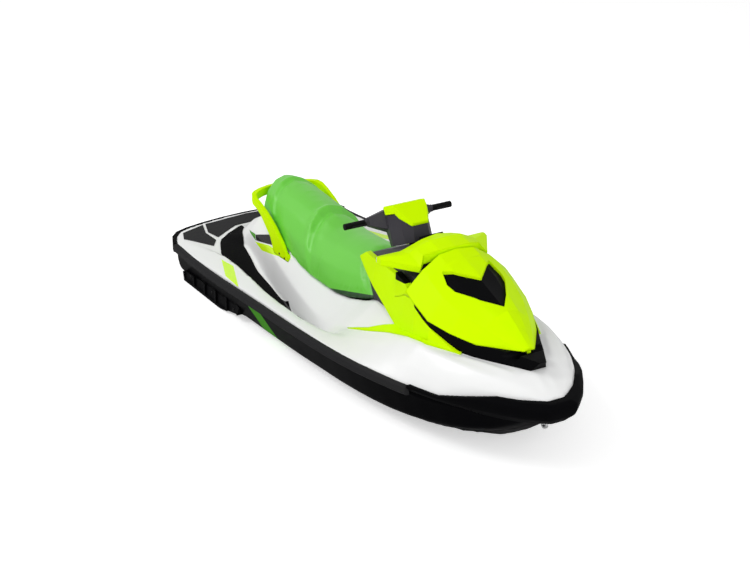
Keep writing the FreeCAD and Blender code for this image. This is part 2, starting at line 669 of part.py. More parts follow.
def make_bow_bumper():
    """Thick bumper round the bow, lapping over the deck's edge."""
    wires = []
    for rise, share in BUMPER_LEVEL_SHARES:
        height = BOW_BUMPER_LOW + (BOW_BUMPER_TOP - BOW_BUMPER_LOW) * rise
        tuck = BOW_BUMPER_OUT * (1 - share)
        plan = bow_plan(BOW_BUMPER_OUT - tuck, LENGTH - BOW_STATION - tuck)
        corners = [FreeCAD.Vector(x, y, height) for x, y in plan]
        wires.append(Part.makePolygon(corners + corners[:1]))
    block = loft(wires)
    start = BOW_BUMPER_START
    top = rail_top(start / LENGTH) + RAIL_CHAMFER
    wedge = side_prism([(start - OVERRUN, top), (start + BOW_BUMPER_RUN, top),
                        (start + BOW_BUMPER_STEP, BOW_BUMPER_TOP),
                        (start + BOW_BUMPER_STEP, HEIGHT), (start - OVERRUN, HEIGHT)], BEAM)
    core = plan_prism(bow_plan(-BUMPER_CORE, -BUMPER_CORE), 0, HEIGHT)
    body = block.cut([wedge, core, hull_form(SEAT_GAP), deck_form(SEAT_GAP)])
    return largest(body)


def make_stern_bumper():
    """Bumper round the stern platform and its quarters."""
    outer = plan_prism(stern_plan(STERN_STATION), STERN_BUMPER_LOW, STERN_BUMPER_TOP)
    ahead = box((STERN_BUMPER_END, -BEAM, 0), (LENGTH + BEAM, BEAM, HEIGHT))
    rails = box((QUARTER_STATION, -BEAM, 0), (STERN_BUMPER_END, BEAM, HEIGHT))
    core = plan_prism(stern_plan(SEAT_GAP), 0, HEIGHT)
    return largest(outer.cut([ahead, rails, core]))


def make_mat(outline, lift):
    """Layer of even thickness on the deck, inside a plan outline."""
    first = min(x for x, y in outline)
    last = max(x for x, y in outline)
    skin = deck_form(SEAT_GAP + lift, first, last).cut(deck_form(SEAT_GAP, first, last))
    return largest(skin.common(plan_prism(outline, 0, HEIGHT)))


# Seat, handle, console, panels and cowl

def seat_front(gap):
    """Everything ahead of the seat's raked front, less a gap."""
    low = pair_at(DECK_SHARES, 5, SEAT_FRONT_LOW / LENGTH)[1]
    high = single_at(SEAT_SHARES, 4, SEAT_FRONT_HIGH / LENGTH)
    lean = (SEAT_FRONT_LOW - SEAT_FRONT_HIGH) / (high - low)
    foot = SEAT_FRONT_LOW + gap + lean * low
    far = high + HEIGHT
    return side_prism([(foot, 0), (foot - lean * far, far), (LENGTH, far), (LENGTH, 0)], BEAM)


@functools.lru_cache(maxsize=None)
def seat_form(grow):
    """The seat's solid form with its rounded back, grown all round and downwards."""
    wires = []
    for share in stations(SEAT_REAR - grow, SEAT_FRONT_LOW + OVERRUN):
        crown = single_at(SEAT_SHARES, 4, share) + grow
        skirt, flank, shoulder = [pair_at(SEAT_SHARES, column, share) for column in (1, 2, 3)]
        floor = pair_at(DECK_SHARES, 5, share)[1] + SEAT_GAP
        top = (shoulder[0] + grow, shoulder[1] + grow)
        points = [(0, floor), (skirt[0] + grow, floor), (flank[0] + grow, flank[1]), top]
        points.append((top[0] / 2, (top[1] + crown * 3) / 4))
        points.append((0, crown))
        wires.append(section(along(share), points))
    half = max(row[2][0] for row in SEAT_SHARES) * HALF_BEAM + grow
    plan = [(SEAT_REAR - grow + SEAT_REAR_RUN * (1 - math.sqrt(1 - s * s)), half * s) for s in ROUND_SHARES]
    plan += [(SEAT_REAR + SEAT_REAR_RUN, BEAM), (LENGTH, BEAM)]
    return loft(wires).common(plan_prism(both_sides(plan), 0, HEIGHT))


def make_seat():
    """Three-place saddle with a raised passenger step, a rounded back and a raked front."""
    return largest(seat_form(0.0).cut(seat_front(0.0)))


def handle_plan(inset):
    """Plan outline of the handle's outer face round the seat's back, open forwards, moved inwards."""
    half = HANDLE_HALF - inset
    rear = HANDLE_REAR + inset
    back = [(rear + HANDLE_REAR_RUN * (1 - math.sqrt(1 - s * s)), half * s) for s in ROUND_SHARES]
    return both_sides(back + [(LENGTH, half)])


def make_handle():
    """Grab handle that wraps the seat's back and comes down to the deck on each side."""
    band = plan_prism(handle_plan(0.0), 0, HEIGHT).cut(plan_prism(handle_plan(HANDLE_WIDTH), 0, HEIGHT))
    side = side_prism([(along(x), z * HEIGHT) for x, z in HANDLE_SIDE_SHARES], BEAM)
    return largest(band.common(side).cut([deck_form(SEAT_GAP), seat_form(SEAT_GAP)]))


def steer_plane(station, gap):
    """Height of the plane square to the steering axis, a gap below the steering cover."""
    rake = math.radians(STEER_RAKE)
    return STEER_HEIGHT - gap / math.cos(rake) + (station - STEER_STATION) * math.tan(rake)


def flank_section(share, inset):
    """Flank of the body between the console and the knee panels."""
    foot, top = [pair_at(FLANK_SHARES, column, share) for column in (1, 2)]
    points = [(0, foot[1]), (foot[0] - inset, foot[1]), (top[0] - inset, top[1]), (0, top[1])]
    return section(along(share), points)


@functools.lru_cache(maxsize=None)
def flank_form(inset):
    """The flank's solid form, inset by a wall."""
    first = along(FLANK_SHARES[0][0])
    last = along(FLANK_SHARES[-1][0])
    return loft([flank_section(s, inset) for s in stations(first, last)])


@functools.lru_cache(maxsize=None)
def console_form():
    """Console between the seat and the cowl, topped square to the steering axis."""
    wires = []
    first = along(CONSOLE_SHARES[0][0])
    last = along(CONSOLE_SHARES[-1][0])
    for share in stations(first, last):
        foot, side, top = [pair_at(CONSOLE_SHARES, column, share) for column in (1, 2, 3)]
        limit = min(CONSOLE_TOP, steer_plane(along(share), RUN_GAP))
        side = (side[0], min(side[1], limit - RUN_GAP))
        points = [(0, foot[1]), foot, side, (top[0], limit), (0, limit)]
        wires.append(section(along(share), points))
    return loft(wires)


@functools.lru_cache(maxsize=None)
def rim_form(inset):
    """The rim's solid form, inset by a width."""
    wires = []
    first = along(RIM_SHARES[0][0])
    last = along(RIM_SHARES[-1][0])
    for share in stations(first, last):
        foot, lip = [pair_at(RIM_SHARES, column, share) for column in (1, 2)]
        inner = [max(y - inset, RAIL_CHAMFER) for y in (foot[0], lip[0])]
        points = [(0, foot[1]), (inner[0], foot[1]), (inner[1], lip[1]), (0, lip[1])]
        wires.append(section(along(share), points))
    return loft(wires)


@functools.lru_cache(maxsize=None)
def hood_form(inset):
    """The hood's solid form, inset by a wall, open below when inset."""
    wires = []
    for share in stations(HOOD_REAR, HOOD_NOSE - NOSE_SHARE * max(inset, 0.0)):
        ridge = single_at(HOOD_SHARES, 4, share) - inset
        crease, shoulder, edge = [pair_at(HOOD_SHARES, column, share) for column in (1, 2, 3)]
        shrink = max(0.0, 1 - inset / edge[0])
        floor = min(edge[1], shoulder[1] - inset) - OVERRUN if inset > 0 else edge[1]
        points = [(0, floor), (edge[0] * shrink, floor), (shoulder[0] * shrink, shoulder[1] - inset),
                  (crease[0] * shrink, crease[1] - inset), (0, ridge)]
        wires.append(section(along(share), points))
    return loft(wires)


def vent_plan(grow):
    """Plan of the hood's vent opening."""
    middle = sum(x for x, y in VENT_PLAN_SHARES) / len(VENT_PLAN_SHARES)
    points = []
    for x, y in VENT_PLAN_SHARES:
        end = grow if x > middle else -grow
        side = grow if y > 0 else 0.0
        points.append((along(x) + end, y * HALF_BEAM + side))
    return both_sides(points)


def make_hood():
    """Hinged storage hood, a faceted shell with a vee vent and a hinge knuckle at its nose."""
    shell = hood_form(0.0).cut(hood_form(HOOD_WALL))
    nose = box((HINGE_STATION - KNUCKLE_RADIUS - NOSE_REACH, -BEAM, 0), (LENGTH, BEAM, HEIGHT))
    left = (HINGE_STATION, BEAM, HINGE_HEIGHT)
    right = (HINGE_STATION, -BEAM, HINGE_HEIGHT)
    sweep = rod(KNUCKLE_RADIUS + SHAFT_GAP, right, left)
    knuckle = rod(KNUCKLE_RADIUS, (HINGE_STATION, -KNUCKLE_HALF, HINGE_HEIGHT),
                  (HINGE_STATION, KNUCKLE_HALF, HINGE_HEIGHT))
    web = box((HINGE_STATION - KNUCKLE_RADIUS, -KNUCKLE_HALF, HINGE_HEIGHT),
              (HINGE_STATION, KNUCKLE_HALF, HINGE_HEIGHT + KNUCKLE_RADIUS * 2))
    bore = rod(HINGE_PIN + SHAFT_GAP, right, left)
    ear = box((HINGE_STATION - NOSE_REACH, KNUCKLE_HALF, 0),
              (LENGTH, KNUCKLE_HALF + HINGE_EAR + HOOD_GAP, HINGE_HEIGHT + KNUCKLE_RADIUS))
    shell = shell.cut([ear, mirrored(ear), sweep.common(nose)])
    body = fused([largest(shell), knuckle, web])
    return largest(body.cut([bore, plan_prism(vent_plan(0.0), 0, HEIGHT + BEAM)]))


def make_vents():
    """Sunk vent panel in the hood."""
    layer = hood_form(VENT_DEPTH).cut(hood_form(VENT_DEPTH + VENT_THICK))
    return largest(layer.common(plan_prism(vent_plan(-SEAT_GAP), 0, HEIGHT + BEAM)))


def rim_wall(grow):
    """The rim's upright wall, grown on both faces."""
    return rim_form(-grow).cut(rim_form(RIM_WIDTH + grow))


def make_rim():
    """Black rim round the storage opening, with the nose guard and the hood's hinge pin."""
    ring_body = rim_wall(0.0)
    nose = rim_form(0.0).common(box((WELL_FRONT + WELL_LIP_WIDTH, -BEAM, 0), (LENGTH, BEAM, HEIGHT)))
    tip = along(RIM_SHARES[-1][0])
    tip_height = RIM_SHARES[-1][2][1] * HEIGHT
    undercut = side_prism([(RIM_NOSE_FOOT, 0), (RIM_NOSE_FOOT, RIM_NOSE_FOOT_HEIGHT), (tip, tip_height),
                           (tip + OVERRUN, HEIGHT), (tip + OVERRUN, 0)], BEAM)
    body = fused([ring_body, nose]).cut(undercut)
    reach = rod(NOSE_REACH, (HINGE_STATION, -BEAM, HINGE_HEIGHT), (HINGE_STATION, BEAM, HINGE_HEIGHT))
    shell = hood_form(-HOOD_GAP).cut(hood_form(HOOD_WALL + HOOD_GAP))
    panels = panel_wall(SEAT_GAP)
    body = largest(body.cut([reach, shell, deck_form(SEAT_GAP), panels, mirrored(panels)]))
    pin = rod(HINGE_PIN, (HINGE_STATION, -KNUCKLE_HALF - HINGE_EAR, HINGE_HEIGHT),
              (HINGE_STATION, KNUCKLE_HALF + HINGE_EAR, HINGE_HEIGHT))
    ear = box((HINGE_STATION - HINGE_PIN * 2, KNUCKLE_HALF + SEAT_GAP, HINGE_HEIGHT - NOSE_REACH - OVERRUN),
              (HINGE_STATION + HINGE_PIN * 2, KNUCKLE_HALF + HINGE_EAR, HINGE_HEIGHT + HINGE_PIN))
    ear = ear.cut(deck_form(SEAT_GAP))
    return largest(fused([body, pin, ear, mirrored(ear)]))


def make_bin():
    """Open storage bin with a flange that rests on the well's lip."""
    outer = plan_prism(well_plan(-SEAT_GAP), WELL_FLOOR + SEAT_GAP, WELL_LIP + SEAT_GAP)
    seat = WELL_LIP + SEAT_GAP
    flange = plan_prism(well_plan(WELL_LIP_WIDTH - SEAT_GAP), seat, seat + BIN_WALL)
    inner = plan_prism(well_plan(-SEAT_GAP - BIN_WALL), WELL_FLOOR + SEAT_GAP + BIN_WALL, HEIGHT)
    return largest(fused([outer, flange]).cut(inner))


def make_cowl():
    """Cowl behind the hood with a swept mirror wing on each side."""
    wires = []
    rows = [(-y, corners) for y, corners in reversed(COWL_SHARES) if y > 0] + list(COWL_SHARES)
    for breadth, corners in rows:
        points = [FreeCAD.Vector(along(x), breadth * HALF_BEAM, z * HEIGHT) for x, z in corners]
        wires.append(Part.makePolygon(points + points[:1]))
    return loft(wires)


def make_mirrors():
    """Mirror glass set on the after face of each wing."""
    inner, outer = COWL_SHARES[3], COWL_SHARES[4]
    corners = []
    for row, part in ((inner, 0.12), (inner, 0.88), (outer, 0.84), (outer, 0.16)):
        breadth, outline = row
        low, high = outline[4], outline[0]
        height = (low[1] + (high[1] - low[1]) * part) * HEIGHT
        corners.append((along(low[0]) - SEAT_GAP, breadth * HALF_BEAM, height))
    glass = prism(corners, (-MIRROR_THICK, 0, 0))
    return pair(glass)


def make_console(cowl):
    """Dark console with the steering bore."""
    gauge = make_gauge()
    stem = steer(rod(STEM_RADIUS + SHAFT_GAP, (0, 0, -STEM_DEPTH - SEAT_GAP), (0, 0, HEIGHT)))
    body = console_form().common(seat_front(SEAT_GAP))
    body = body.cut([deck_form(SEAT_GAP), cowl, rim_wall(SEAT_GAP), gauge, stem])
    return largest(body.cut(hood_form(-HOOD_GAP)))


def make_gauge():
    """Instrument pod that faces the rider."""
    low = CONSOLE_TOP
    outline = [(GAUGE_AFT, low), (GAUGE_AFT + GAUGE_LEAN, GAUGE_TOP), (GAUGE_FRONT, GAUGE_TOP - GAUGE_LEAN),
               (GAUGE_FRONT, low)]
    return side_prism(outline, GAUGE_HALF)


def panel_wall(grow):
    """The starboard panel's upright wall, grown on both faces."""
    outline = [(along(x), z * HEIGHT) for x, z in PANEL_SIDE_SHARES]
    wall = flank_form(-grow).cut(flank_form(PANEL_WALL + grow))
    starboard = box((0, -BEAM, 0), (LENGTH, -RUN_GAP, HEIGHT))
    return wall.common(side_prism(outline, BEAM)).common(starboard)


def make_panel():
    """Starboard knee panel with its tongue along the deck."""
    pillar = panel_wall(0.0).cut(deck_form(SEAT_GAP))
    plan = [(x, -y) for x, y in plan_points(TONGUE_PLAN_SHARES)]
    tongue = make_mat(plan, TONGUE_LIFT)
    return largest(fused([largest(pillar), tongue.cut(rim_form(-SEAT_GAP))]))


# Steering, in its own frame with the axis upright, then raked

def steer(shape):
    """Move a shape from the steering's own frame to its raked place."""
    placed = shape.copy()
    placed.rotate(FreeCAD.Vector(0, 0, 0), FreeCAD.Vector(0, 1, 0), -STEER_RAKE)
    placed.translate(FreeCAD.Vector(STEER_STATION, 0, STEER_HEIGHT))
    return placed


def bar_and_stem():
    """Handlebar tube, its clamp and the steering stem."""
    bar = rod(BAR_RADIUS, (-BAR_AFT, -BAR_HALF, BAR_RISE), (-BAR_AFT, BAR_HALF, BAR_RISE))
    clamp = rod(CLAMP_RADIUS, (-BAR_AFT, -CLAMP_HALF, BAR_RISE), (-BAR_AFT, CLAMP_HALF, BAR_RISE))
    stem = rod(STEM_RADIUS, (0, 0, -STEM_DEPTH), (0, 0, BAR_RISE / 2))
    arm = side_prism([(-BAR_AFT - STEM_RADIUS, BAR_RISE), (-BAR_AFT + STEM_RADIUS, BAR_RISE),
                      (STEM_RADIUS, BAR_RISE / 2), (STEM_RADIUS, BAR_RISE / 4), (-STEM_RADIUS, BAR_RISE / 4)],
                     STEM_RADIUS)
    return fused([bar, clamp, stem, arm])


def make_grips():
    """Two rubber grips."""
    grip = rod(GRIP_RADIUS, (-BAR_AFT, GRIP_INNER, BAR_RISE), (-BAR_AFT, GRIP_OUTER, BAR_RISE))
    bore = rod(BAR_RADIUS + SEAT_GAP, (-BAR_AFT, 0, BAR_RISE), (-BAR_AFT, BAR_HALF + SEAT_GAP, BAR_RISE))
    return steer(pair(grip.cut(bore)))


def make_levers():
    """Throttle lever to starboard and brake lever to port, each on its perch."""
    inner = ARM_TIP + SEAT_GAP
    outer = GRIP_INNER - SEAT_GAP
    perch = ring(GRIP_RADIUS, BAR_RADIUS + SEAT_GAP, (-BAR_AFT, inner, BAR_RISE), (-BAR_AFT, outer, BAR_RISE))
    root = (BAR_RADIUS + GRIP_RADIUS) / 2 - BAR_AFT
    reach = LEVER_OUT - BAR_AFT
    outline = [(root, inner), (reach - 2 * LEVER_WIDTH, inner), (reach, inner + LEVER_WIDTH),
               (reach, LEVER_TIP), (reach - LEVER_WIDTH, LEVER_TIP),
               (reach - LEVER_WIDTH, outer + LEVER_WIDTH),
               (reach - 2.4 * LEVER_WIDTH, outer), (root, outer)]
    low = BAR_RISE - LEVER_DROP
    return steer(pair(fused([perch, plan_prism(outline, low, low + LEVER_DEPTH)])))


def frame_points(shares, rise):
    """Points of the steering's own frame from shares of the cover's reach and rise."""
    return [(u * COVER_REACH, w * rise) for u, w in shares]


def make_cover_and_pad():
    """Grey steering cover with an arm to each grip, and the pad on top of it."""
    side = side_prism(frame_points(COVER_SIDE_SHARES, COVER_RISE), BEAM)
    plan = plan_prism(both_sides(frame_points(COVER_PLAN_SHARES, COVER_RISE)), -OVERRUN, BEAM)
    arm_wires = []
    for breadth, size in ((ARM_ROOT, ARM_ROOT_SIZE), (ARM_TIP, ARM_TIP_SIZE)):
        half = size / 2
        corners = [FreeCAD.Vector(-BAR_AFT + u * half, breadth, BAR_RISE + w * half)
                   for u, w in ((-1, -0.6), (-0.6, -1), (0.8, -1), (1, 0.2), (0.4, 1), (-1, 0.7))]
        arm_wires.append(Part.makePolygon(corners + corners[:1]))
    arm = loft(arm_wires)
    cover = fused([side.common(plan), arm, mirrored(arm)])
    pad = side_prism(frame_points(PAD_SIDE_SHARES, COVER_RISE), BEAM)
    pad = pad.common(plan_prism(both_sides(frame_points(PAD_PLAN_SHARES, COVER_RISE)), -OVERRUN, BEAM))
    cover = cover.cut([bar_and_stem(), pad])
    return steer(largest(cover)), steer(largest(pad.cut(bar_and_stem())))


# Jet pump

def pump_ring(outer, inner, first, last):
    """Ring about the pump axis between two stations."""
    return ring(outer, inner, (first, 0, PUMP_HEIGHT), (last, 0, PUMP_HEIGHT))


def blade(inner, outer, first, last, twist, turn):
    """Twisted blade between two radii and two stations."""
    wires = []
    steps = 4
    for i in range(steps + 1):
        station = first + (last - first) * i / steps
        corners = []
        for radius, side in ((inner, -1), (outer, -1), (outer, 1), (inner, 1)):
            corners.append(FreeCAD.Vector(station, side * BLADE_THICK / 2, radius))
        wire = Part.makePolygon(corners + corners[:1])
        wire.rotate(FreeCAD.Vector(0, 0, 0), FreeCAD.Vector(1, 0, 0), turn + twist * i / steps)
        wire.translate(FreeCAD.Vector(0, 0, PUMP_HEIGHT))
        wires.append(wire)
    return loft(wires)


def cone(first_radius, last_radius, first, last):
    """Cone about the pump axis between two stations."""
    return Part.makeCone(first_radius, last_radius, last - first, FreeCAD.Vector(first, 0, PUMP_HEIGHT),
                         FreeCAD.Vector(1, 0, 0))


def make_pump_housing():
    """Pump housing with its flanges, stator vanes, hub and the bucket's arms."""
    outer = PUMP_BORE + PUMP_WALL
    front = PUMP_FRONT - SEAT_GAP
    parts = [pump_ring(outer, PUMP_BORE, PUMP_AFT, front),
             pump_ring(PUMP_FRONT_FLANGE, PUMP_BORE, front - FLANGE_THICK, front),
             pump_ring(PUMP_AFT_FLANGE, PUMP_BORE, PUMP_AFT, PUMP_AFT + FLANGE_THICK)]
    hub_front = IMPELLER_AFT - RUN_GAP / 2
    parts.append(rod(HUB_RADIUS, (PUMP_AFT, 0, PUMP_HEIGHT), (hub_front, 0, PUMP_HEIGHT)))
    parts.append(cone(TAIL_RADIUS, HUB_RADIUS, PUMP_AFT - TAIL_LENGTH, PUMP_AFT))
    for i in range(VANE_COUNT):
        parts.append(blade(HUB_RADIUS - BLADE_THICK, PUMP_BORE + PUMP_WALL / 2, PUMP_AFT + BLADE_THICK,
                           hub_front - BLADE_THICK, VANE_TWIST, 360.0 * i / VANE_COUNT))
    face = BUCKET_HALF - BUCKET_WALL - RUN_GAP / 2
    arm = box((BUCKET_PIVOT - BUCKET_HUB, face - ARM_THICK, PUMP_HEIGHT - ARM_HALF_HEIGHT),
              (PUMP_AFT + FLANGE_THICK, face, PUMP_HEIGHT + ARM_HALF_HEIGHT))
    pin = rod(PIVOT_PIN, (BUCKET_PIVOT, face - RUN_GAP / 2, PUMP_HEIGHT),
              (BUCKET_PIVOT, BUCKET_HALF + RUN_GAP / 2, PUMP_HEIGHT))
    body = fused(parts + [arm, mirrored(arm), pin, mirrored(pin)])
    stub_aft = hub_front - STUB_LENGTH
    stub = rod(STUB_RADIUS + SHAFT_GAP, (stub_aft, 0, PUMP_HEIGHT), (PUMP_FRONT, 0, PUMP_HEIGHT))
    return largest(body.cut(stub))


def make_impeller():
    """Impeller with a coned hub and four twisted blades, bored for the drive shaft."""
    middle = (IMPELLER_AFT + IMPELLER_FRONT) / 2
    hub = fused([rod(HUB_RADIUS, (IMPELLER_AFT, 0, PUMP_HEIGHT), (middle, 0, PUMP_HEIGHT)),
                 cone(HUB_RADIUS, SHAFT_RADIUS + BLADE_THICK, middle, IMPELLER_FRONT)])
    blades = []
    for i in range(BLADE_COUNT):
        blades.append(blade(SHAFT_RADIUS + BLADE_THICK / 2, PUMP_BORE - TIP_GAP, IMPELLER_AFT + BLADE_THICK,
                            IMPELLER_FRONT - BLADE_THICK, IMPELLER_TWIST, 360.0 * i / BLADE_COUNT))
    body = fused([hub] + blades)
    bore = rod(SHAFT_RADIUS + SHAFT_GAP, (IMPELLER_AFT + FLANGE_THICK, 0, PUMP_HEIGHT),
               (LENGTH, 0, PUMP_HEIGHT))
    small = rod(STUB_RADIUS + SHAFT_GAP, (0, 0, PUMP_HEIGHT), (LENGTH, 0, PUMP_HEIGHT))
    return largest(body.cut([bore, small]))


def make_shaft():
    """Drive shaft from the stator's bearing through the impeller to the engine."""
    stub = rod(STUB_RADIUS, (IMPELLER_AFT - RUN_GAP / 2 - STUB_LENGTH + SEAT_GAP, 0, PUMP_HEIGHT),
               (IMPELLER_AFT + FLANGE_THICK, 0, PUMP_HEIGHT))
    shaft = rod(SHAFT_RADIUS, (IMPELLER_AFT + FLANGE_THICK, 0, PUMP_HEIGHT),
                (ENGINE_AFT - SEAT_GAP, 0, PUMP_HEIGHT))
    return fused([stub, shaft])


def revolve_along(outline):
    """Ring from an outline of stations and radii, turned about the pump axis."""
    corners = [FreeCAD.Vector(x, 0, r) for x, r in outline]
    face = Part.Face(Part.makePolygon(corners + corners[:1]))
    body = face.revolve(FreeCAD.Vector(0, 0, 0), FreeCAD.Vector(1, 0, 0), 360)
    body.translate(FreeCAD.Vector(0, 0, PUMP_HEIGHT))
    return body


def make_venturi():
    """Fixed outlet cone with the ears that carry the steering nozzle."""
    front = PUMP_AFT - SEAT_GAP
    flange = PUMP_BORE + PUMP_WALL + VENTURI_WALL
    back = front - FLANGE_THICK
    body = revolve_along([(VENTURI_AFT, VENTURI_BORE), (front, PUMP_BORE), (front, flange), (back, flange),
                          (back, PUMP_BORE + VENTURI_WALL), (VENTURI_AFT, VENTURI_BORE + VENTURI_WALL)])
    ear = box((NOZZLE_PIVOT - EAR_REACH, -EAR_WIDTH / 2, EAR_LOW),
              (front - FLANGE_THICK / 2, EAR_WIDTH / 2, EAR_HIGH))
    ear = ear.cut(rod(PIVOT_PIN + SHAFT_GAP, (NOZZLE_PIVOT, 0, 0), (NOZZLE_PIVOT, 0, BEAM)))
    low = ear.mirror(FreeCAD.Vector(0, 0, 0), FreeCAD.Vector(0, 0, 1))
    for e in (ear, low):
        e.translate(FreeCAD.Vector(0, 0, PUMP_HEIGHT))
    return fused([body, ear, low])


def make_nozzle():
    """Steering nozzle on two upright pins."""
    body = cone(NOZZLE_EXIT_BORE + NOZZLE_WALL, NOZZLE_MOUTH_BORE + NOZZLE_WALL, NOZZLE_AFT, NOZZLE_FRONT)
    inner = NOZZLE_MOUTH_BORE - NOZZLE_WALL / 2
    boss = rod(PIVOT_PIN * 2, (NOZZLE_PIVOT, 0, inner), (NOZZLE_PIVOT, 0, EAR_LOW - 2 * SEAT_GAP))
    pin = rod(PIVOT_PIN, (NOZZLE_PIVOT, 0, inner), (NOZZLE_PIVOT, 0, EAR_HIGH))
    top = fused([boss, pin])
    low = top.mirror(FreeCAD.Vector(0, 0, 0), FreeCAD.Vector(0, 0, 1))
    for e in (top, low):
        e.translate(FreeCAD.Vector(0, 0, PUMP_HEIGHT))
    bore = cone(NOZZLE_EXIT_BORE, NOZZLE_MOUTH_BORE, NOZZLE_AFT, NOZZLE_FRONT)
    return largest(fused([body, top, low]).cut(bore))


def make_bucket():
    """Reverse bucket, a curved shell between two side plates that hang on the pump's arms."""
    shell = ring(BUCKET_RADIUS, BUCKET_RADIUS - BUCKET_WALL, (0, -BUCKET_HALF, 0), (0, BUCKET_HALF, 0))
    plate = rod(BUCKET_RADIUS, (0, BUCKET_HALF - BUCKET_WALL, 0), (0, BUCKET_HALF, 0))
    reach = 2 * BUCKET_RADIUS
    rays = [math.radians(BUCKET_FROM + (BUCKET_TO - BUCKET_FROM) * i / 4) for i in range(5)]
    outline = [(0, 0)] + [(-reach * math.cos(a), reach * math.sin(a)) for a in rays]
    sector = side_prism(outline, BEAM)
    hub = rod(BUCKET_HUB, (0, BUCKET_HALF - BUCKET_WALL, 0), (0, BUCKET_HALF, 0))
    plate = plate.common(sector)
    body = fused([shell.common(sector), plate, mirrored(plate), hub, mirrored(hub)])
    body = body.cut(rod(PIVOT_PIN + SHAFT_GAP, (0, -BEAM, 0), (0, BEAM, 0)))
    body.translate(FreeCAD.Vector(BUCKET_PIVOT, 0, PUMP_HEIGHT))
    return largest(body)


def make_ride_plate():
    """Vee plate that closes the tunnel under the pump."""
    half = TUNNEL_HALF - SEAT_GAP
    rise = half * (curve(CHINE_HEIGHT_SHARES, 0.0) * HEIGHT) / chine_breadth(0.0)
    low = PLATE_HEIGHT
    points = [(0, low), (half, low + rise), (half, low + rise + PLATE_THICK), (0, low + PLATE_THICK)]
    port = [FreeCAD.Vector(PLATE_AFT, y, z) for y, z in points]
    starboard = [FreeCAD.Vector(PLATE_AFT, -y, z) for y, z in (points[2], points[1])]
    outline = port + starboard
    face = Part.Face(Part.makePolygon(outline + outline[:1]))
    return face.extrude(FreeCAD.Vector(PLATE_FRONT - PLATE_AFT, 0, 0))


def make_grate():
    """Intake grate of long bars in a frame."""
    half = INTAKE_HALF - SEAT_GAP
    top = GRATE_HEIGHT + GRATE_DEPTH
    frame = box((GRATE_AFT, -half, GRATE_HEIGHT), (GRATE_FRONT, half, top))
    pitch = 2 * half / (GRATE_BARS + 1)
    gap = (pitch - GRATE_BAR) / 2
    for i in range(GRATE_BARS + 1):
        centre = -half + pitch * (i + 0.5)
        frame = frame.cut(box((GRATE_AFT + GRATE_BAR * 2, centre - gap, 0),
                              (GRATE_FRONT - GRATE_BAR * 2, centre + gap, HEIGHT)))
    return largest(frame)


def make_engine():
    """Plain block for the engine."""
    half = ENGINE_WIDTH / 2
    return box((ENGINE_AFT, -half, ENGINE_BASE + SEAT_GAP),
               (ENGINE_AFT + ENGINE_LENGTH, half, ENGINE_BASE + SEAT_GAP + ENGINE_HEIGHT))


def make_sponson():
    """Starboard sponson on the hull's after side, with upright ribs."""
    outline = [(along(x), z * HEIGHT) for x, z in SPONSON_SHARES]
    share = sum(x for x, z in SPONSON_SHARES) / len(SPONSON_SHARES)
    outer = chine_breadth(share) + SPONSON_OUT
    inner = chine_breadth(share) - OVERRUN
    body = prism([(x, -outer, z) for x, z in outline], (0, outer - inner, 0))
    first, last = outline[0][0], outline[3][0]
    pitch = (last - first) / SPONSON_RIBS
    for i in range(SPONSON_RIBS):
        start = first + pitch * i + RIB_DEPTH
        body = body.cut(box((start, -BEAM, outline[1][1] + 2 * RIB_DEPTH),
                            (start + pitch - 2 * RIB_DEPTH, -outer + RIB_DEPTH, HEIGHT)))
    return largest(body.cut(hull_form(SEAT_GAP)))


def make_bow_eye():
    """Towing eye on the stem."""
    half = EYE_THICK / 2
    eye = ring(EYE_OUTER, EYE_BORE, (EYE_STATION, -half, EYE_HEIGHT), (EYE_STATION, half, EYE_HEIGHT))
    return largest(eye.cut(hull_form(SEAT_GAP)))


def make_stern_eyes():
    """Two tie-down eyes on the transom."""
    place = TRANSOM_STATION - STERN_EYE_REACH
    eye = ring(EYE_OUTER, EYE_BORE, (place, STERN_EYE_BREADTH, STERN_EYE_HEIGHT - EYE_THICK / 2),
               (place, STERN_EYE_BREADTH, STERN_EYE_HEIGHT + EYE_THICK / 2))
    return pair(largest(eye.cut(box((TRANSOM_STATION - SEAT_GAP, 0, 0), (LENGTH, BEAM, HEIGHT)))))


def make_plugs():
    """Two drain plugs in the transom."""
    return pair(rod(PLUG_RADIUS, (TRANSOM_STATION - SEAT_GAP - PLUG_LENGTH, PLUG_BREADTH, PLUG_HEIGHT),
                    (TRANSOM_STATION - SEAT_GAP, PLUG_BREADTH, PLUG_HEIGHT)))


SHIFT = FreeCAD.Vector(-LENGTH / 2, 0, -WATERLINE)


def save(name, shape):
    """Write one piece, moved so that the origin is amidships on the waterline."""
    placed = shape.copy()
    placed.translate(SHIFT)
    placed.exportStep("parts/" + name + ".step")
    print(name, len(placed.Solids), round(placed.Volume), placed.isValid(), flush=True)


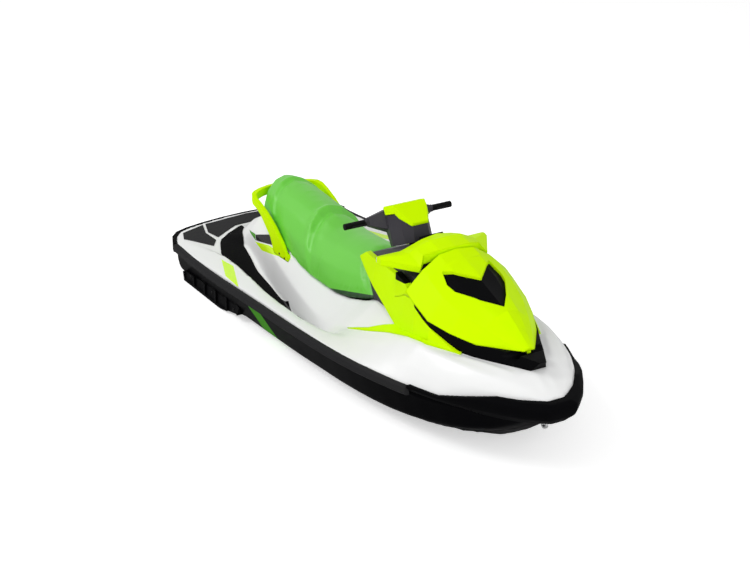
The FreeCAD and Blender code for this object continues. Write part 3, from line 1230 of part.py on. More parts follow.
def main():
    """Build every piece."""
    os.makedirs("parts", exist_ok=True)
    save("hull", make_hull())
    handle = make_handle()
    save("grab_handle", handle)
    save("deck", make_deck())
    rail = make_rail()
    save("rub_rail_starboard", rail)
    save("rub_rail_port", mirrored(rail))
    save("bow_bumper", make_bow_bumper())
    save("stern_bumper", make_stern_bumper())
    mat = make_mat(plan_points(WELL_MAT_SHARES), MAT_THICK)
    save("footwell_mat_port", mat)
    save("footwell_mat_starboard", mirrored(mat))
    centre = make_mat(both_sides(plan_points(CENTRE_MAT_SHARES)), MAT_THICK)
    side = make_mat(plan_points(SIDE_MAT_SHARES), MAT_THICK)
    save("platform_mats", Part.Compound([centre, side, mirrored(side)]))
    save("seat", make_seat())
    cowl = make_cowl()
    save("cowl", cowl)
    save("mirror_glass", make_mirrors())
    save("console", make_console(cowl))
    save("gauge", make_gauge())
    panel = make_panel()
    save("knee_panel_starboard", panel)
    save("knee_panel_port", mirrored(panel))
    save("hood", make_hood())
    save("hood_vents", make_vents())
    save("storage_rim", make_rim())
    save("storage_bin", make_bin())
    save("handlebar", steer(bar_and_stem()))
    save("grips", make_grips())
    save("levers", make_levers())
    cover, pad = make_cover_and_pad()
    save("steering_cover", cover)
    save("steering_pad", pad)
    save("pump_housing", make_pump_housing())
    save("impeller", make_impeller())
    save("drive_shaft", make_shaft())
    save("venturi", make_venturi())
    save("steering_nozzle", make_nozzle())
    save("reverse_bucket", make_bucket())
    save("ride_plate", make_ride_plate())
    save("intake_grate", make_grate())
    save("engine", make_engine())
    sponson = make_sponson()
    save("sponson_starboard", sponson)
    save("sponson_port", mirrored(sponson))
    save("bow_eye", make_bow_eye())
    save("stern_eyes", make_stern_eyes())
    save("drain_plugs", make_plugs())


main()
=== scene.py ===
"""Looks of a three-seat personal watercraft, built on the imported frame."""
import bpy
import json
import math
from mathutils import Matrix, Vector
from mathutils.bvhtree import BVHTree


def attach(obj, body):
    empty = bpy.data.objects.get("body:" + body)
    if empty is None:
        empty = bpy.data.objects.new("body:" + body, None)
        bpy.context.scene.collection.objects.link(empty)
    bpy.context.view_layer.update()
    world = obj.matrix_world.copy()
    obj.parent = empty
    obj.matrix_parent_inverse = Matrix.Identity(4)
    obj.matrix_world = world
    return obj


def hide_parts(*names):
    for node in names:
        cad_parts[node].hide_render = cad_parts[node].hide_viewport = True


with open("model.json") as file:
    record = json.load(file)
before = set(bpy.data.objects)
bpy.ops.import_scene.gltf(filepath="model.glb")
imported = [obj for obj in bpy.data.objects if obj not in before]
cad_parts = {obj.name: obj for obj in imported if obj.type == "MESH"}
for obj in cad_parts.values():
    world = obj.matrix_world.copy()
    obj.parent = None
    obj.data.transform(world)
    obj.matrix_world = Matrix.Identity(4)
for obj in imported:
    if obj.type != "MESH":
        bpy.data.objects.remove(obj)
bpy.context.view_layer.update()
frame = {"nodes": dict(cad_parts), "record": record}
nodes = frame["nodes"]
bodies = frame["record"]["behaviour"]["bodies"]
slots = {row["node"]: row["material_slot"] for row in frame["record"]["subparts"]}
body_of = {node: body for body, members in bodies.items() for node in members}

# The frame lies half the craft's length from the stern and a draught above the keel
HALF_LENGTH = 1.684
DRAUGHT = 0.165

LIME = (0.64, 1.0, 0.0)
SEAT_GREEN = (0.14, 0.6, 0.042)
# Painted shade: a dark green for the seat's lower lip, where the cushion turns under
SHADED_LIP_GREEN = (0.008, 0.05, 0.008)
STRIPE_GREEN = (0.06, 0.3, 0.012)
BLACK = (0.0025, 0.0025, 0.003)
WHITE = (0.88, 0.885, 0.88)

AHEAD = (1.0, 0.0, 0.0)
UP = (0.0, 0.0, 1.0)
# Ways that a side faces to port, which starboard mirrors
SIDE = (0.0, 1.0, 0.0)
FLANK = (0.0, 1.0, 0.2)


# Shader groups

def socket(group, name, way, kind, value=None):
    """Adds a socket to a node group and sets its default."""
    made = group.interface.new_socket(name=name, in_out=way, socket_type=kind)
    if value is not None:
        made.default_value = value
    return made


def node(tree, kind, **facts):
    """Adds a shader node and sets its properties."""
    made = tree.nodes.new(kind)
    for key, value in facts.items():
        setattr(made, key, value)
    return made


def build_grain():
    """Rounded edges and fine bumps over a surface, with a slow change of gloss."""
    group = bpy.data.node_groups.new("fine_grain", "ShaderNodeTree")
    socket(group, "Scale", "INPUT", "NodeSocketFloat", 400.0)
    socket(group, "Height", "INPUT", "NodeSocketFloat", 0.0001)
    socket(group, "Edge", "INPUT", "NodeSocketFloat", 0.004)
    socket(group, "Roughness", "INPUT", "NodeSocketFloat", 0.4)
    socket(group, "Spread", "INPUT", "NodeSocketFloat", 0.06)
    socket(group, "Roughness", "OUTPUT", "NodeSocketFloat")
    socket(group, "Normal", "OUTPUT", "NodeSocketVector")
    inside = node(group, "NodeGroupInput")
    out = node(group, "NodeGroupOutput")
    place = node(group, "ShaderNodeTexCoord")
    fine = node(group, "ShaderNodeTexNoise")
    fine.inputs["Detail"].default_value = 3.0
    edge = node(group, "ShaderNodeBevel", samples=6)
    bump = node(group, "ShaderNodeBump")
    bump.inputs["Strength"].default_value = 1.0
    slow = node(group, "ShaderNodeTexNoise")
    slow.inputs["Scale"].default_value = 7.0
    slow.inputs["Detail"].default_value = 5.0
    shift = node(group, "ShaderNodeMath", operation="SUBTRACT")
    shift.inputs[1].default_value = 0.5
    spread = node(group, "ShaderNodeMath", operation="MULTIPLY")
    total = node(group, "ShaderNodeMath", operation="ADD")
    link = group.links.new
    link(place.outputs["Object"], fine.inputs["Vector"])
    link(place.outputs["Object"], slow.inputs["Vector"])
    link(inside.outputs["Scale"], fine.inputs["Scale"])
    link(inside.outputs["Edge"], edge.inputs["Radius"])
    link(edge.outputs["Normal"], bump.inputs["Normal"])
    link(fine.outputs["Fac"], bump.inputs["Height"])
    link(inside.outputs["Height"], bump.inputs["Distance"])
    link(slow.outputs["Fac"], shift.inputs[0])
    link(shift.outputs[0], spread.inputs[0])
    link(inside.outputs["Spread"], spread.inputs[1])
    link(spread.outputs[0], total.inputs[0])
    link(inside.outputs["Roughness"], total.inputs[1])
    link(total.outputs[0], out.inputs["Roughness"])
    link(bump.outputs["Normal"], out.inputs["Normal"])
    return group


def build_tone():
    """A colour that drifts a little darker in soft patches."""
    group = bpy.data.node_groups.new("tone_drift", "ShaderNodeTree")
    socket(group, "Color", "INPUT", "NodeSocketColor", (0.5, 0.5, 0.5, 1.0))
    socket(group, "Drift", "INPUT", "NodeSocketFloat", 0.06)
    socket(group, "Color", "OUTPUT", "NodeSocketColor")
    inside = node(group, "NodeGroupInput")
    out = node(group, "NodeGroupOutput")
    place = node(group, "ShaderNodeTexCoord")
    patch = node(group, "ShaderNodeTexNoise")
    patch.inputs["Scale"].default_value = 2.6
    patch.inputs["Detail"].default_value = 6.0
    amount = node(group, "ShaderNodeMath", operation="MULTIPLY")
    level = node(group, "ShaderNodeMath", operation="SUBTRACT")
    level.inputs[0].default_value = 1.0
    scaled = node(group, "ShaderNodeVectorMath", operation="SCALE")
    link = group.links.new
    link(place.outputs["Object"], patch.inputs["Vector"])
    link(patch.outputs["Fac"], amount.inputs[0])
    link(inside.outputs["Drift"], amount.inputs[1])
    link(amount.outputs[0], level.inputs[1])
    link(inside.outputs["Color"], scaled.inputs[0])
    link(level.outputs[0], scaled.inputs["Scale"])
    link(scaled.outputs[0], out.inputs["Color"])
    return group


def build_ribs():
    """Moulded ribs along one direction, on top of the normal that comes in."""
    group = bpy.data.node_groups.new("moulded_ribs", "ShaderNodeTree")
    socket(group, "Across", "INPUT", "NodeSocketVector", (1.0, 0.0, 0.0))
    socket(group, "Depth", "INPUT", "NodeSocketFloat", 0.0005)
    socket(group, "Normal", "INPUT", "NodeSocketVector")
    socket(group, "Normal", "OUTPUT", "NodeSocketVector")
    inside = node(group, "NodeGroupInput")
    out = node(group, "NodeGroupOutput")
    place = node(group, "ShaderNodeTexCoord")
    dot = node(group, "ShaderNodeVectorMath", operation="DOT_PRODUCT")
    wave = node(group, "ShaderNodeMath", operation="SINE")
    crest = node(group, "ShaderNodeMath", operation="SMOOTH_MAX")
    crest.inputs[1].default_value = 0.0
    crest.inputs[2].default_value = 0.6
    bump = node(group, "ShaderNodeBump")
    link = group.links.new
    link(place.outputs["Object"], dot.inputs[0])
    link(inside.outputs["Across"], dot.inputs[1])
    link(dot.outputs["Value"], wave.inputs[0])
    link(wave.outputs[0], crest.inputs[0])
    link(crest.outputs[0], bump.inputs["Height"])
    link(inside.outputs["Depth"], bump.inputs["Distance"])
    link(inside.outputs["Normal"], bump.inputs["Normal"])
    link(bump.outputs["Normal"], out.inputs["Normal"])
    return group


def build_figure():
    """1 inside a four sided figure on either side of the craft, between four planes."""
    group = bpy.data.node_groups.new("painted_figure", "ShaderNodeTree")
    for i in range(4):
        socket(group, f"Plane {i + 1}", "INPUT", "NodeSocketVector", (0.0, 0.0, 1.0))
        socket(group, f"Reach {i + 1}", "INPUT", "NodeSocketFloat", 0.0)
    socket(group, "Inside", "OUTPUT", "NodeSocketFloat")
    inside = node(group, "NodeGroupInput")
    out = node(group, "NodeGroupOutput")
    place = node(group, "ShaderNodeTexCoord")
    apart = node(group, "ShaderNodeSeparateXYZ")
    either = node(group, "ShaderNodeMath", operation="ABSOLUTE")
    folded = node(group, "ShaderNodeCombineXYZ")
    link = group.links.new
    link(place.outputs["Object"], apart.inputs[0])
    link(apart.outputs["X"], folded.inputs["X"])
    link(apart.outputs["Y"], either.inputs[0])
    link(either.outputs[0], folded.inputs["Y"])
    link(apart.outputs["Z"], folded.inputs["Z"])
    last = None
    for i in range(4):
        dot = node(group, "ShaderNodeVectorMath", operation="DOT_PRODUCT")
        step = node(group, "ShaderNodeMath", operation="GREATER_THAN")
        link(folded.outputs[0], dot.inputs[0])
        link(inside.outputs[2 * i], dot.inputs[1])
        link(dot.outputs["Value"], step.inputs[0])
        link(inside.outputs[2 * i + 1], step.inputs[1])
        if last is None:
            last = step
        else:
            both = node(group, "ShaderNodeMath", operation="MULTIPLY")
            link(last.outputs[0], both.inputs[0])
            link(step.outputs[0], both.inputs[1])
            last = both
    link(last.outputs[0], out.inputs["Inside"])
    return group


GRAIN = build_grain()
TONE = build_tone()
RIBS = build_ribs()
FIGURE = build_figure()


def planes_of(corners, facing):
    """Planes square to a figure through its sides, as (normal, least reach) pairs."""
    middle = sum((Vector(c) for c in corners), Vector()) / 4
    facing = Vector(facing).normalized()
    planes = []
    for i in range(4):
        first, second = Vector(corners[i]), Vector(corners[(i + 1) % 4])
        normal = (second - first).cross(facing).normalized()
        if normal.dot(middle - first) < 0:
            normal = -normal
        planes.append((normal, normal.dot(first)))
    return planes


def station(x, y, z):
    """A place given from the stern, the centre plane and the keel, in the frame."""
    return (x - HALF_LENGTH, y, z - DRAUGHT)


# Sockets of a colour Mix node
MIX_FACTOR = 0
MIX_FIRST = 6
MIX_SECOND = 7
MIX_RESULT = 2


def material(name, color, rough, metal=0.0, specular=0.35, scale=400.0, height=0.0, edge=0.004,
             spread=0.05, drift=0.06, ribs=(), depth=0.0005, figures=()):
    """Principled material with grain, ribs, a drifting tone and painted figures."""
    made = bpy.data.materials.new(name)
    made.use_nodes = True
    tree = made.node_tree
    link = tree.links.new
    shader = tree.nodes["Principled BSDF"]
    shader.inputs["Metallic"].default_value = metal
    shader.inputs["Specular IOR Level"].default_value = specular
    grain = node(tree, "ShaderNodeGroup", node_tree=GRAIN)
    facts = {"Scale": scale, "Height": height, "Edge": edge, "Roughness": rough, "Spread": spread}
    for key, value in facts.items():
        grain.inputs[key].default_value = value
    link(grain.outputs["Roughness"], shader.inputs["Roughness"])
    normal = grain.outputs["Normal"]
    for across in ribs:
        ribbed = node(tree, "ShaderNodeGroup", node_tree=RIBS)
        ribbed.inputs["Across"].default_value = across
        ribbed.inputs["Depth"].default_value = depth
        link(normal, ribbed.inputs["Normal"])
        normal = ribbed.outputs["Normal"]
    link(normal, shader.inputs["Normal"])
    tone = node(tree, "ShaderNodeGroup", node_tree=TONE)
    tone.inputs["Color"].default_value = (*color, 1.0)
    tone.inputs["Drift"].default_value = drift
    link(tone.outputs["Color"], shader.inputs["Base Color"])
    last = None
    for paint, facing, corners in figures:
        mask = node(tree, "ShaderNodeGroup", node_tree=FIGURE)
        for i, (plane, reach) in enumerate(planes_of([station(*c) for c in corners], facing)):
            mask.inputs[2 * i].default_value = plane
            mask.inputs[2 * i + 1].default_value = reach
        mix = node(tree, "ShaderNodeMix", data_type="RGBA")
        mix.inputs[MIX_FIRST].default_value = (*color, 1.0)
        mix.inputs[MIX_SECOND].default_value = (*paint, 1.0)
        if last is not None:
            link(last.outputs[MIX_RESULT], mix.inputs[MIX_FIRST])
        link(mask.outputs["Inside"], mix.inputs[MIX_FACTOR])
        last = mix
    if last is not None:
        link(last.outputs[MIX_RESULT], tone.inputs["Color"])
    return made


# Painted figures: colour, the way that the surface faces, and corners as station, breadth and height
DECK_FIGURES = (
    (LIME, UP,
     ((0.625, 0.46, 0.41), (0.76, 0.452, 0.415), (1.05, 0.568, 0.425), (0.865, 0.555, 0.416))),
    (LIME, FLANK,
     ((0.583, 0.22, 0.452), (0.753, 0.224, 0.492), (0.985, 0.222, 0.492), (0.684, 0.228, 0.434))),
    (BLACK, FLANK,
     ((0.575, 0.214, 0.492), (0.712, 0.19, 0.536), (0.81, 0.209, 0.506), (0.596, 0.22, 0.464))),
    (STRIPE_GREEN, FLANK,
     ((0.462, 0.193, 0.478), (0.572, 0.214, 0.494), (0.592, 0.22, 0.464), (0.588, 0.218, 0.461))),
    # Painted shade: black where the footwell narrows at its front, for the shadowed gap between the
    # pedestal and the gunwale, and partly for the mat's tail
    (BLACK, UP,
     ((1.05, 0.305, 0.289), (1.15, 0.31, 0.303), (1.40, 0.388, 0.37), (1.34, 0.394, 0.365))),
)
HULL_FIGURES = (
    (STRIPE_GREEN, SIDE,
     ((1.14, 0.571, 0.37), (1.29, 0.571, 0.375), (1.42, 0.5, 0.18), (1.26, 0.5, 0.175))),
)
RIM_FIGURES = (
    (LIME, SIDE,
     ((2.14, 0.25, 0.822), (2.45, 0.26, 0.885), (2.45, 0.27, 0.74), (2.14, 0.25, 0.72))),
)
# Painted shade: a dark green strip low on the seat's front flanks, where the cushion turns under towards
# the deck
SEAT_SHADE_FIGURES = (
    (SHADED_LIP_GREEN, FLANK,
     ((1.44, 0.23, 0.492), (1.875, 0.18, 0.598), (1.9, 0.18, 0.48), (1.44, 0.23, 0.4))),
)

# Surfaces that more than one material shares
GRAINED = {"scale": 700.0, "height": 0.0001, "edge": 0.003}
DIAMOND_FOAM = {"scale": 260.0, "height": 0.0004, "depth": 0.0006,
                "ribs": ((210.0, 210.0, 0.0), (210.0, -210.0, 0.0))}

MATERIALS = {
    "hull_black": material("gelcoat black", BLACK, 0.3, specular=0.004, figures=HULL_FIGURES),
    "deck_white": material("gelcoat white", WHITE, 0.25, specular=0.3, edge=0.006, drift=0.02,
                           figures=DECK_FIGURES),
    "panel_lime": material("panel lime", LIME, 0.4, specular=0.02, edge=0.008, drift=0.03),
    "rail_rubber": material("rail rubber", (0.022, 0.022, 0.023), 0.55, specular=0.02, scale=300.0,
                            height=0.0001),
    "bumper_black": material("bumper black", BLACK, 0.5, specular=0.01, scale=350.0, height=0.0001,
                             edge=0.008),
    "mat_foam": material("mat foam", (0.009, 0.009, 0.0095), 0.8, specular=0.01, **DIAMOND_FOAM),
    "seat_vinyl": material("seat vinyl", SEAT_GREEN, 0.42, specular=0.5, scale=900.0, height=0.00015,
                           figures=SEAT_SHADE_FIGURES),
    "plastic_black": material("plastic black", BLACK, 0.45, specular=0.02, **GRAINED),
    "plastic_grey": material("plastic grey", (0.046, 0.043, 0.052), 0.45, specular=0.12, **GRAINED),
    "grip_rubber": material("grip rubber", (0.004, 0.004, 0.004), 0.6, specular=0.06, scale=500.0,
                            height=0.0002, ribs=((0.0, 900.0, 0.0),), depth=0.001),
    "mirror": material("mirror glass", (0.85, 0.87, 0.9), 0.05, metal=1.0, spread=0.01, drift=0.02),
    "steel": material("stainless steel", (0.6, 0.6, 0.61), 0.28, metal=1.0, edge=0.001),
    "mat_grey": material("mat foam grey", (0.032, 0.032, 0.033), 0.8, specular=0.05, **DIAMOND_FOAM),
    "rim": material("rim black", BLACK, 0.45, specular=0.02, figures=RIM_FIGURES, **GRAINED),
    "screen": material("screen", (0.012, 0.016, 0.022), 0.08, specular=0.5, spread=0.01, edge=0.001),
    "coated": material("black coated metal", (0.004, 0.004, 0.004), 0.4, specular=0.1, scale=500.0,
                       height=0.0001, edge=0.002),
    "cast_alloy": material("cast alloy", (0.3, 0.31, 0.32), 0.45, metal=0.9, scale=250.0, height=0.0002,
                           edge=0.002),
}


# Pieces

def select(obj):
    """Makes one object the only selected and active one."""
    bpy.ops.object.select_all(action="DESELECT")
    obj.select_set(True)
    bpy.context.view_layer.objects.active = obj


def edit_all(obj):
    """Opens one object in edit mode with all of it selected."""
    select(obj)
    bpy.ops.object.mode_set(mode="EDIT")
    bpy.ops.mesh.select_all(action="SELECT")


# Nodes whose finish differs from the plain one of their slot
FINISHES = {
    "platform_mats": "mat_grey", "handlebar": "coated", "levers": "coated", "storage_rim": "rim",
}


def fit(obj, body, slot_name, finish=None):
    """Finishes a piece: the material of its finish or of its slot, and its body."""
    obj.data.materials.clear()
    obj.data.materials.append(MATERIALS[finish or slot_name])
    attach(obj, body)
    return obj


MERGE_REACH = 0.00005
# In degrees: faces are joined under the first, and an edge is sharp over the others
FLAT_ANGLE = 0.5
PLAIN_CREASE = 30.0
ADDED_CREASE = 35.0


def merged_copy(name):
    """A copy of a CAD node with its loose triangles merged."""
    source = nodes[name]
    obj = bpy.data.objects.new(name + "_skin", source.data.copy())
    bpy.context.scene.collection.objects.link(obj)
    edit_all(obj)
    bpy.ops.mesh.remove_doubles(threshold=MERGE_REACH)
    bpy.ops.object.mode_set(mode="OBJECT")
    return obj


def apply(obj, kind, name, **facts):
    """Adds a modifier, sets it and applies it."""
    made = obj.modifiers.new(name, kind)
    for key, value in facts.items():
        setattr(made, key, value)
    select(obj)
    bpy.ops.object.modifier_apply(modifier=name)


# Pieces whose facets stay in sight: the least angle of an edge that stays sharp
CREASED = {
    "hood": 14.0, "cowl": 18.0, "knee_panel_starboard": 14.0, "knee_panel_port": 14.0,
    "storage_rim": 18.0, "hood_vents": 10.0, "steering_cover": 18.0, "steering_pad": 22.0,
    "console": 15.0,
}


def shade(obj, angle):
    """Smooth shading up to an angle, with large faces leading."""
    select(obj)
    bpy.ops.object.shade_smooth_by_angle(angle=math.radians(angle))
    apply(obj, "WEIGHTED_NORMAL", "leading faces", keep_sharp=True)


def round_edges(obj, width, segments):
    """Rounds the sharp edges of a piece."""
    apply(obj, "BEVEL", "rounded", width=width, segments=segments, limit_method="ANGLE",
          angle_limit=math.radians(PLAIN_CREASE))


def smooth_copy(name):
    """A merged copy of a CAD node that stands for it, with flat faces joined and shaded smooth."""
    obj = merged_copy(name)
    edit_all(obj)
    bpy.ops.mesh.dissolve_limited(angle_limit=math.radians(FLAT_ANGLE))
    bpy.ops.object.mode_set(mode="OBJECT")
    shade(obj, CREASED.get(name, PLAIN_CREASE))
    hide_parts(name)
    return fit(obj, body_of[name], slots[name], FINISHES.get(name))


# Moulded pieces: voxel, rounds of smoothing, and the neighbours that a seat is kept for
MOULDED = {
    "deck": (0.0108, 10, (
        "footwell_mat_starboard", "footwell_mat_port", "platform_mats", "storage_rim", "seat",
        "knee_panel_starboard", "knee_panel_port", "grab_handle", "rub_rail_starboard",
        "rub_rail_port", "bow_bumper", "stern_bumper", "storage_bin", "console")),
    "hull": (0.0118, 14, (
        "deck", "rub_rail_starboard", "rub_rail_port", "bow_bumper", "stern_bumper", "bow_eye",
        "sponson_starboard", "sponson_port", "stern_eyes", "ride_plate", "intake_grate",
        "pump_housing", "drain_plugs")),
    "bow_bumper": (0.006, 8, ("deck", "hull")),
}
SKIN_ROUNDS = 2
SMOOTHING = 0.5
# A seat is kept whole within the first distance of a neighbour, and fades out over the second
SEAT_CLEAR = 0.006
SEAT_FADE = 0.025


def tree_of(name):
    """Search tree of a CAD node's faces."""
    body = nodes[name].data
    points = [v.co for v in body.vertices]
    return BVHTree.FromPolygons(points, [tuple(p.vertices) for p in body.polygons])


def keep_seats(obj, neighbours):
    """A vertex group that is 0 beside the neighbours and 1 away from them."""
    trees = [tree_of(name) for name in neighbours]
    group = obj.vertex_groups.new(name="free")
    reach = SEAT_CLEAR + SEAT_FADE
    for v in obj.data.vertices:
        gap = reach
        for tree in trees:
            distance = tree.find_nearest(v.co, gap)[3]
            if distance is not None:
                gap = min(gap, distance)
        weight = max(0.0, (gap - SEAT_CLEAR) / SEAT_FADE)
        group.add([v.index], min(1.0, weight), "REPLACE")


# Ridges in the deck beside the hood and ahead of it: both ends as station and breadth, half width, lift
DECK_RIDGES = (
    ((2.74, 0.285), (3.16, 0.115), 0.022, 0.007),
    ((3.04, 0.03), (3.27, 0.03), 0.02, 0.005),
)
# A ridge fades over one part in so many of its length at both ends
RIDGE_FADE = 5.0
# Least rise of the normal where the deck and the saddle count as facing up
DECK_RISE = 0.3
SADDLE_RISE = 0.1


def ridge_height(place, first, last, spread, lift):
    """Height of a straight ridge over a place, on either side of the craft, fading at both ends."""
    x, y = place.x + HALF_LENGTH, abs(place.y)
    run = Vector(last) - Vector(first)
    share = (Vector((x, y)) - Vector(first)).dot(run) / run.length_squared
    if share < 0.0 or share > 1.0:
        return 0.0
    away = (Vector((x, y)) - Vector(first) - run * share).length / spread
    fade = min(1.0, RIDGE_FADE * share, RIDGE_FADE * (1.0 - share))
    return lift * math.exp(-away * away) * fade


def facing_up(obj, least):
    """The vertices whose normal rises by at least a share, found before any of them moves."""
    rise = [v.normal.z for v in obj.data.vertices]
    return [v for v, up in zip(obj.data.vertices, rise) if up > least]


def raise_ridges(obj):
    """Lifts the deck's ridges where nothing is seated."""
    free = obj.vertex_groups["free"]
    for v in facing_up(obj, DECK_RISE):
        lift = sum(ridge_height(v.co, *ridge) for ridge in DECK_RIDGES)
        if lift > 0.0:
            v.co.z += lift * free.weight(v.index)


def moulded_copy(name):
    """An evenly meshed copy of a moulded piece, its creases softened where nothing sits on it."""
    voxel, rounds, neighbours = MOULDED[name]
    obj = merged_copy(name)
    apply(obj, "REMESH", "voxels", mode="VOXEL", voxel_size=voxel)
    apply(obj, "SMOOTH", "skin", factor=SMOOTHING, iterations=SKIN_ROUNDS)
    keep_seats(obj, neighbours)
    apply(obj, "SMOOTH", "soften", factor=SMOOTHING, iterations=rounds, vertex_group="free")
    apply(obj, "SHRINKWRAP", "seated", target=nodes[name], wrap_method="NEAREST_SURFACEPOINT",
          vertex_group="free", invert_vertex_group=True)
    if name == "deck":
        raise_ridges(obj)
    select(obj)
    bpy.ops.object.shade_smooth()
    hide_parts(name)
    return fit(obj, body_of[name], slots[name])


# The saddle: mesh size, smoothing, how far its form is drawn in, and the cap on its growth from the form
SADDLE_VOXEL = 0.009
SADDLE_SMOOTHING = 0.6
SADDLE_ROUNDS = 14
SADDLE_INSET = 0.004
SADDLE_SWELL = 0.006
CLOTH_PRESSURE = 4.0
CLOTH_STEPS = 12
# Lips in its top, arcs seen from above: station of the centre, radius, half width and lift
SADDLE_LIPS = ((1.33, 0.245, 0.03, 0.016), (0.85, 0.205, 0.022, 0.008))
# Brings the peak of a lip's curve to its lift
LIP_SCALE = 2.33


def lip_height(place, centre, radius, spread, lift):
    """Raised behind the arc and sunk as much ahead of it, nothing away from it."""
    x = place.x + HALF_LENGTH - centre
    if x > 0.0:
        return 0.0
    away = (math.hypot(x, place.y) - radius) / spread
    return lift * LIP_SCALE * away * math.exp(-away * away)


def fill_out(obj):
    """Blows a closed form up as weightless cloth."""
    swollen = obj.modifiers.new("cover", "CLOTH")
    swollen.settings.use_pressure = True
    swollen.settings.uniform_pressure_force = CLOTH_PRESSURE
    swollen.settings.effector_weights.gravity = 0.0
    swollen.settings.quality = 4
    swollen.collision_settings.use_collision = False
    for step in range(1, CLOTH_STEPS + 1):
        bpy.context.scene.frame_set(step)
    select(obj)
    bpy.ops.object.modifier_apply(modifier="cover")
    bpy.context.scene.frame_set(1)


def make_seat_pad():
    """The saddle's cover: its form drawn in a little, filled out as cloth and smoothed."""
    obj = merged_copy("seat")
    obj.name = "seat_pad"
    apply(obj, "REMESH", "voxels", mode="VOXEL", voxel_size=SADDLE_VOXEL)
    apply(obj, "SMOOTH", "soften", factor=SADDLE_SMOOTHING, iterations=SADDLE_ROUNDS)
    for v in facing_up(obj, SADDLE_RISE):
        v.co.z += sum(lip_height(v.co, *lip) for lip in SADDLE_LIPS)
    rest = [v.co.copy() for v in obj.data.vertices]
    outward = [v.normal.copy() for v in obj.data.vertices]
    for v, way in zip(obj.data.vertices, outward):
        v.co -= way * SADDLE_INSET
    fill_out(obj)
    for v, start in zip(obj.data.vertices, rest):
        moved = v.co - start
        if moved.length > SADDLE_SWELL:
            v.co = start + moved.normalized() * SADDLE_SWELL
    apply(obj, "SUBSURF", "fine", levels=1, render_levels=1)
    select(obj)
    bpy.ops.object.shade_smooth()
    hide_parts("seat")
    return fit(obj, body_of["seat"], "seat_vinyl")


# The steering's own frame, and the bar in it
STEER_PLACE = station(1.96, 0.0, 0.898)
STEER_RAKE = math.radians(-25.0)
BAR_PLACE = (-0.088, 0.154)
# A web beside the steering cover: reach along the bar, depth and height at its tip
WING_ROOT = 0.06
WING_TIP = 0.188
WING_DEPTH = 0.04
WING_HEIGHT = 0.044
# Growth and shift of its root
ROOT_GROWTH = (2.6, 1.0, 2.9)
ROOT_SHIFT = (0.014, 0.0, -0.016)
# Inset of its upper faces and roundness of its edges
WING_INSET = 0.008
WING_ROUND = 0.005
# How squarely its root faces inwards, and how much its upper faces rise
ROOT_SQUARE = 0.9
WING_RISE = 0.3


def in_steering(obj):
    """Turns a piece from the steering's own frame to its raked place, and applies that."""
    obj.rotation_euler = (0.0, STEER_RAKE, 0.0)
    obj.location = STEER_PLACE
    select(obj)
    bpy.ops.object.transform_apply(location=True, rotation=True, scale=True)


def pick_faces(obj, test):
    """Selects in edit mode the faces that a test of their centre and normal passes."""
    bpy.ops.object.mode_set(mode="OBJECT")
    for part in (obj.data.vertices, obj.data.edges, obj.data.polygons):
        for item in part:
            item.select = False
    for face in obj.data.polygons:
        face.select = test(face.center, face.normal)
    bpy.ops.object.mode_set(mode="EDIT")


def make_wing(side, name):
    """Web between the steering cover and a grip, deep at its root; side is -1 to starboard."""
    u, w = BAR_PLACE
    length = WING_TIP - WING_ROOT
    bpy.ops.object.select_all(action="DESELECT")
    bpy.ops.mesh.primitive_cube_add(size=1.0, location=(u, side * (WING_ROOT + length / 2), w))
    obj = bpy.context.object
    obj.name = name
    obj.scale = (WING_DEPTH, length, WING_HEIGHT)
    bpy.ops.object.transform_apply(location=True, rotation=False, scale=True)
    bpy.ops.object.mode_set(mode="EDIT")
    bpy.ops.mesh.select_mode(type="FACE")
    pick_faces(obj, lambda centre, normal: normal.y * side < -ROOT_SQUARE)
    bpy.ops.transform.resize(value=ROOT_GROWTH)
    bpy.ops.transform.translate(value=ROOT_SHIFT)
    pick_faces(obj, lambda centre, normal: normal.z > WING_RISE)
    bpy.ops.mesh.inset(thickness=WING_INSET)
    bpy.ops.object.mode_set(mode="OBJECT")
    round_edges(obj, WING_ROUND, segments=3)
    in_steering(obj)
    shade(obj, ADDED_CREASE)
    return fit(obj, "handlebar", "plastic_grey")


def surface_at(name, start, way):
    """Where a line from a place meets a CAD piece, and the way that the piece faces there."""
    place, normal = tree_of(name).ray_cast(Vector(start), Vector(way))[:2]
    if normal.dot(Vector(way)) > 0:
        normal = -normal
    return place, normal


# Radius and height of a screw's head
SCREW = (0.009, 0.004)
SMALL_SCREW = (0.007, 0.003)
# Stations of the screws, and breadths or heights where they have more than one
SPONSON_SCREWS = (0.36, 0.63, 0.9)
PLATE_SCREWS = (0.24, 0.54)
PLATE_BREADTHS = (-0.115, 0.115)
GRATE_SCREWS = (0.718, 1.026)
HANDLE_SCREWS = ((0.9, 0.495), (0.96, 0.487))
# Places clear of the craft, from which lines run inwards or upwards to where a screw goes
BESIDE_SPONSON = 0.7
BESIDE_HANDLE = 0.4
BELOW_KEEL = -0.1
SPONSON_HEIGHT = 0.216
# The gauge's screen: a place behind it, and its size along the gauge's face and through it
SCREEN_START = (2.05, 0.0, 0.975)
SCREEN_SIZE = (0.03, 0.096, 0.003)
SCREEN_ROUND = 0.001


def make_screws(label, name, starts, way, size, finish=None):
    """Domed screw heads on a CAD piece, where lines from given places meet it."""
    radius, height = size
    bpy.ops.object.select_all(action="DESELECT")
    made = []
    for start in starts:
        place, normal = surface_at(name, station(*start), way)
        bpy.ops.mesh.primitive_uv_sphere_add(segments=16, ring_count=8, radius=radius, location=place)
        head = bpy.context.object
        head.scale = (1.0, 1.0, height / radius)
        head.rotation_euler = normal.to_track_quat("Z", "Y").to_euler()
        made.append(head)
    bpy.ops.object.select_all(action="DESELECT")
    for head in made:
        head.select_set(True)
    bpy.context.view_layer.objects.active = made[0]
    bpy.ops.object.transform_apply(location=True, rotation=True, scale=True)
    bpy.ops.object.join()
    obj = made[0]
    obj.name = label
    bpy.ops.object.shade_smooth()
    return fit(obj, body_of[name], "steel", finish)


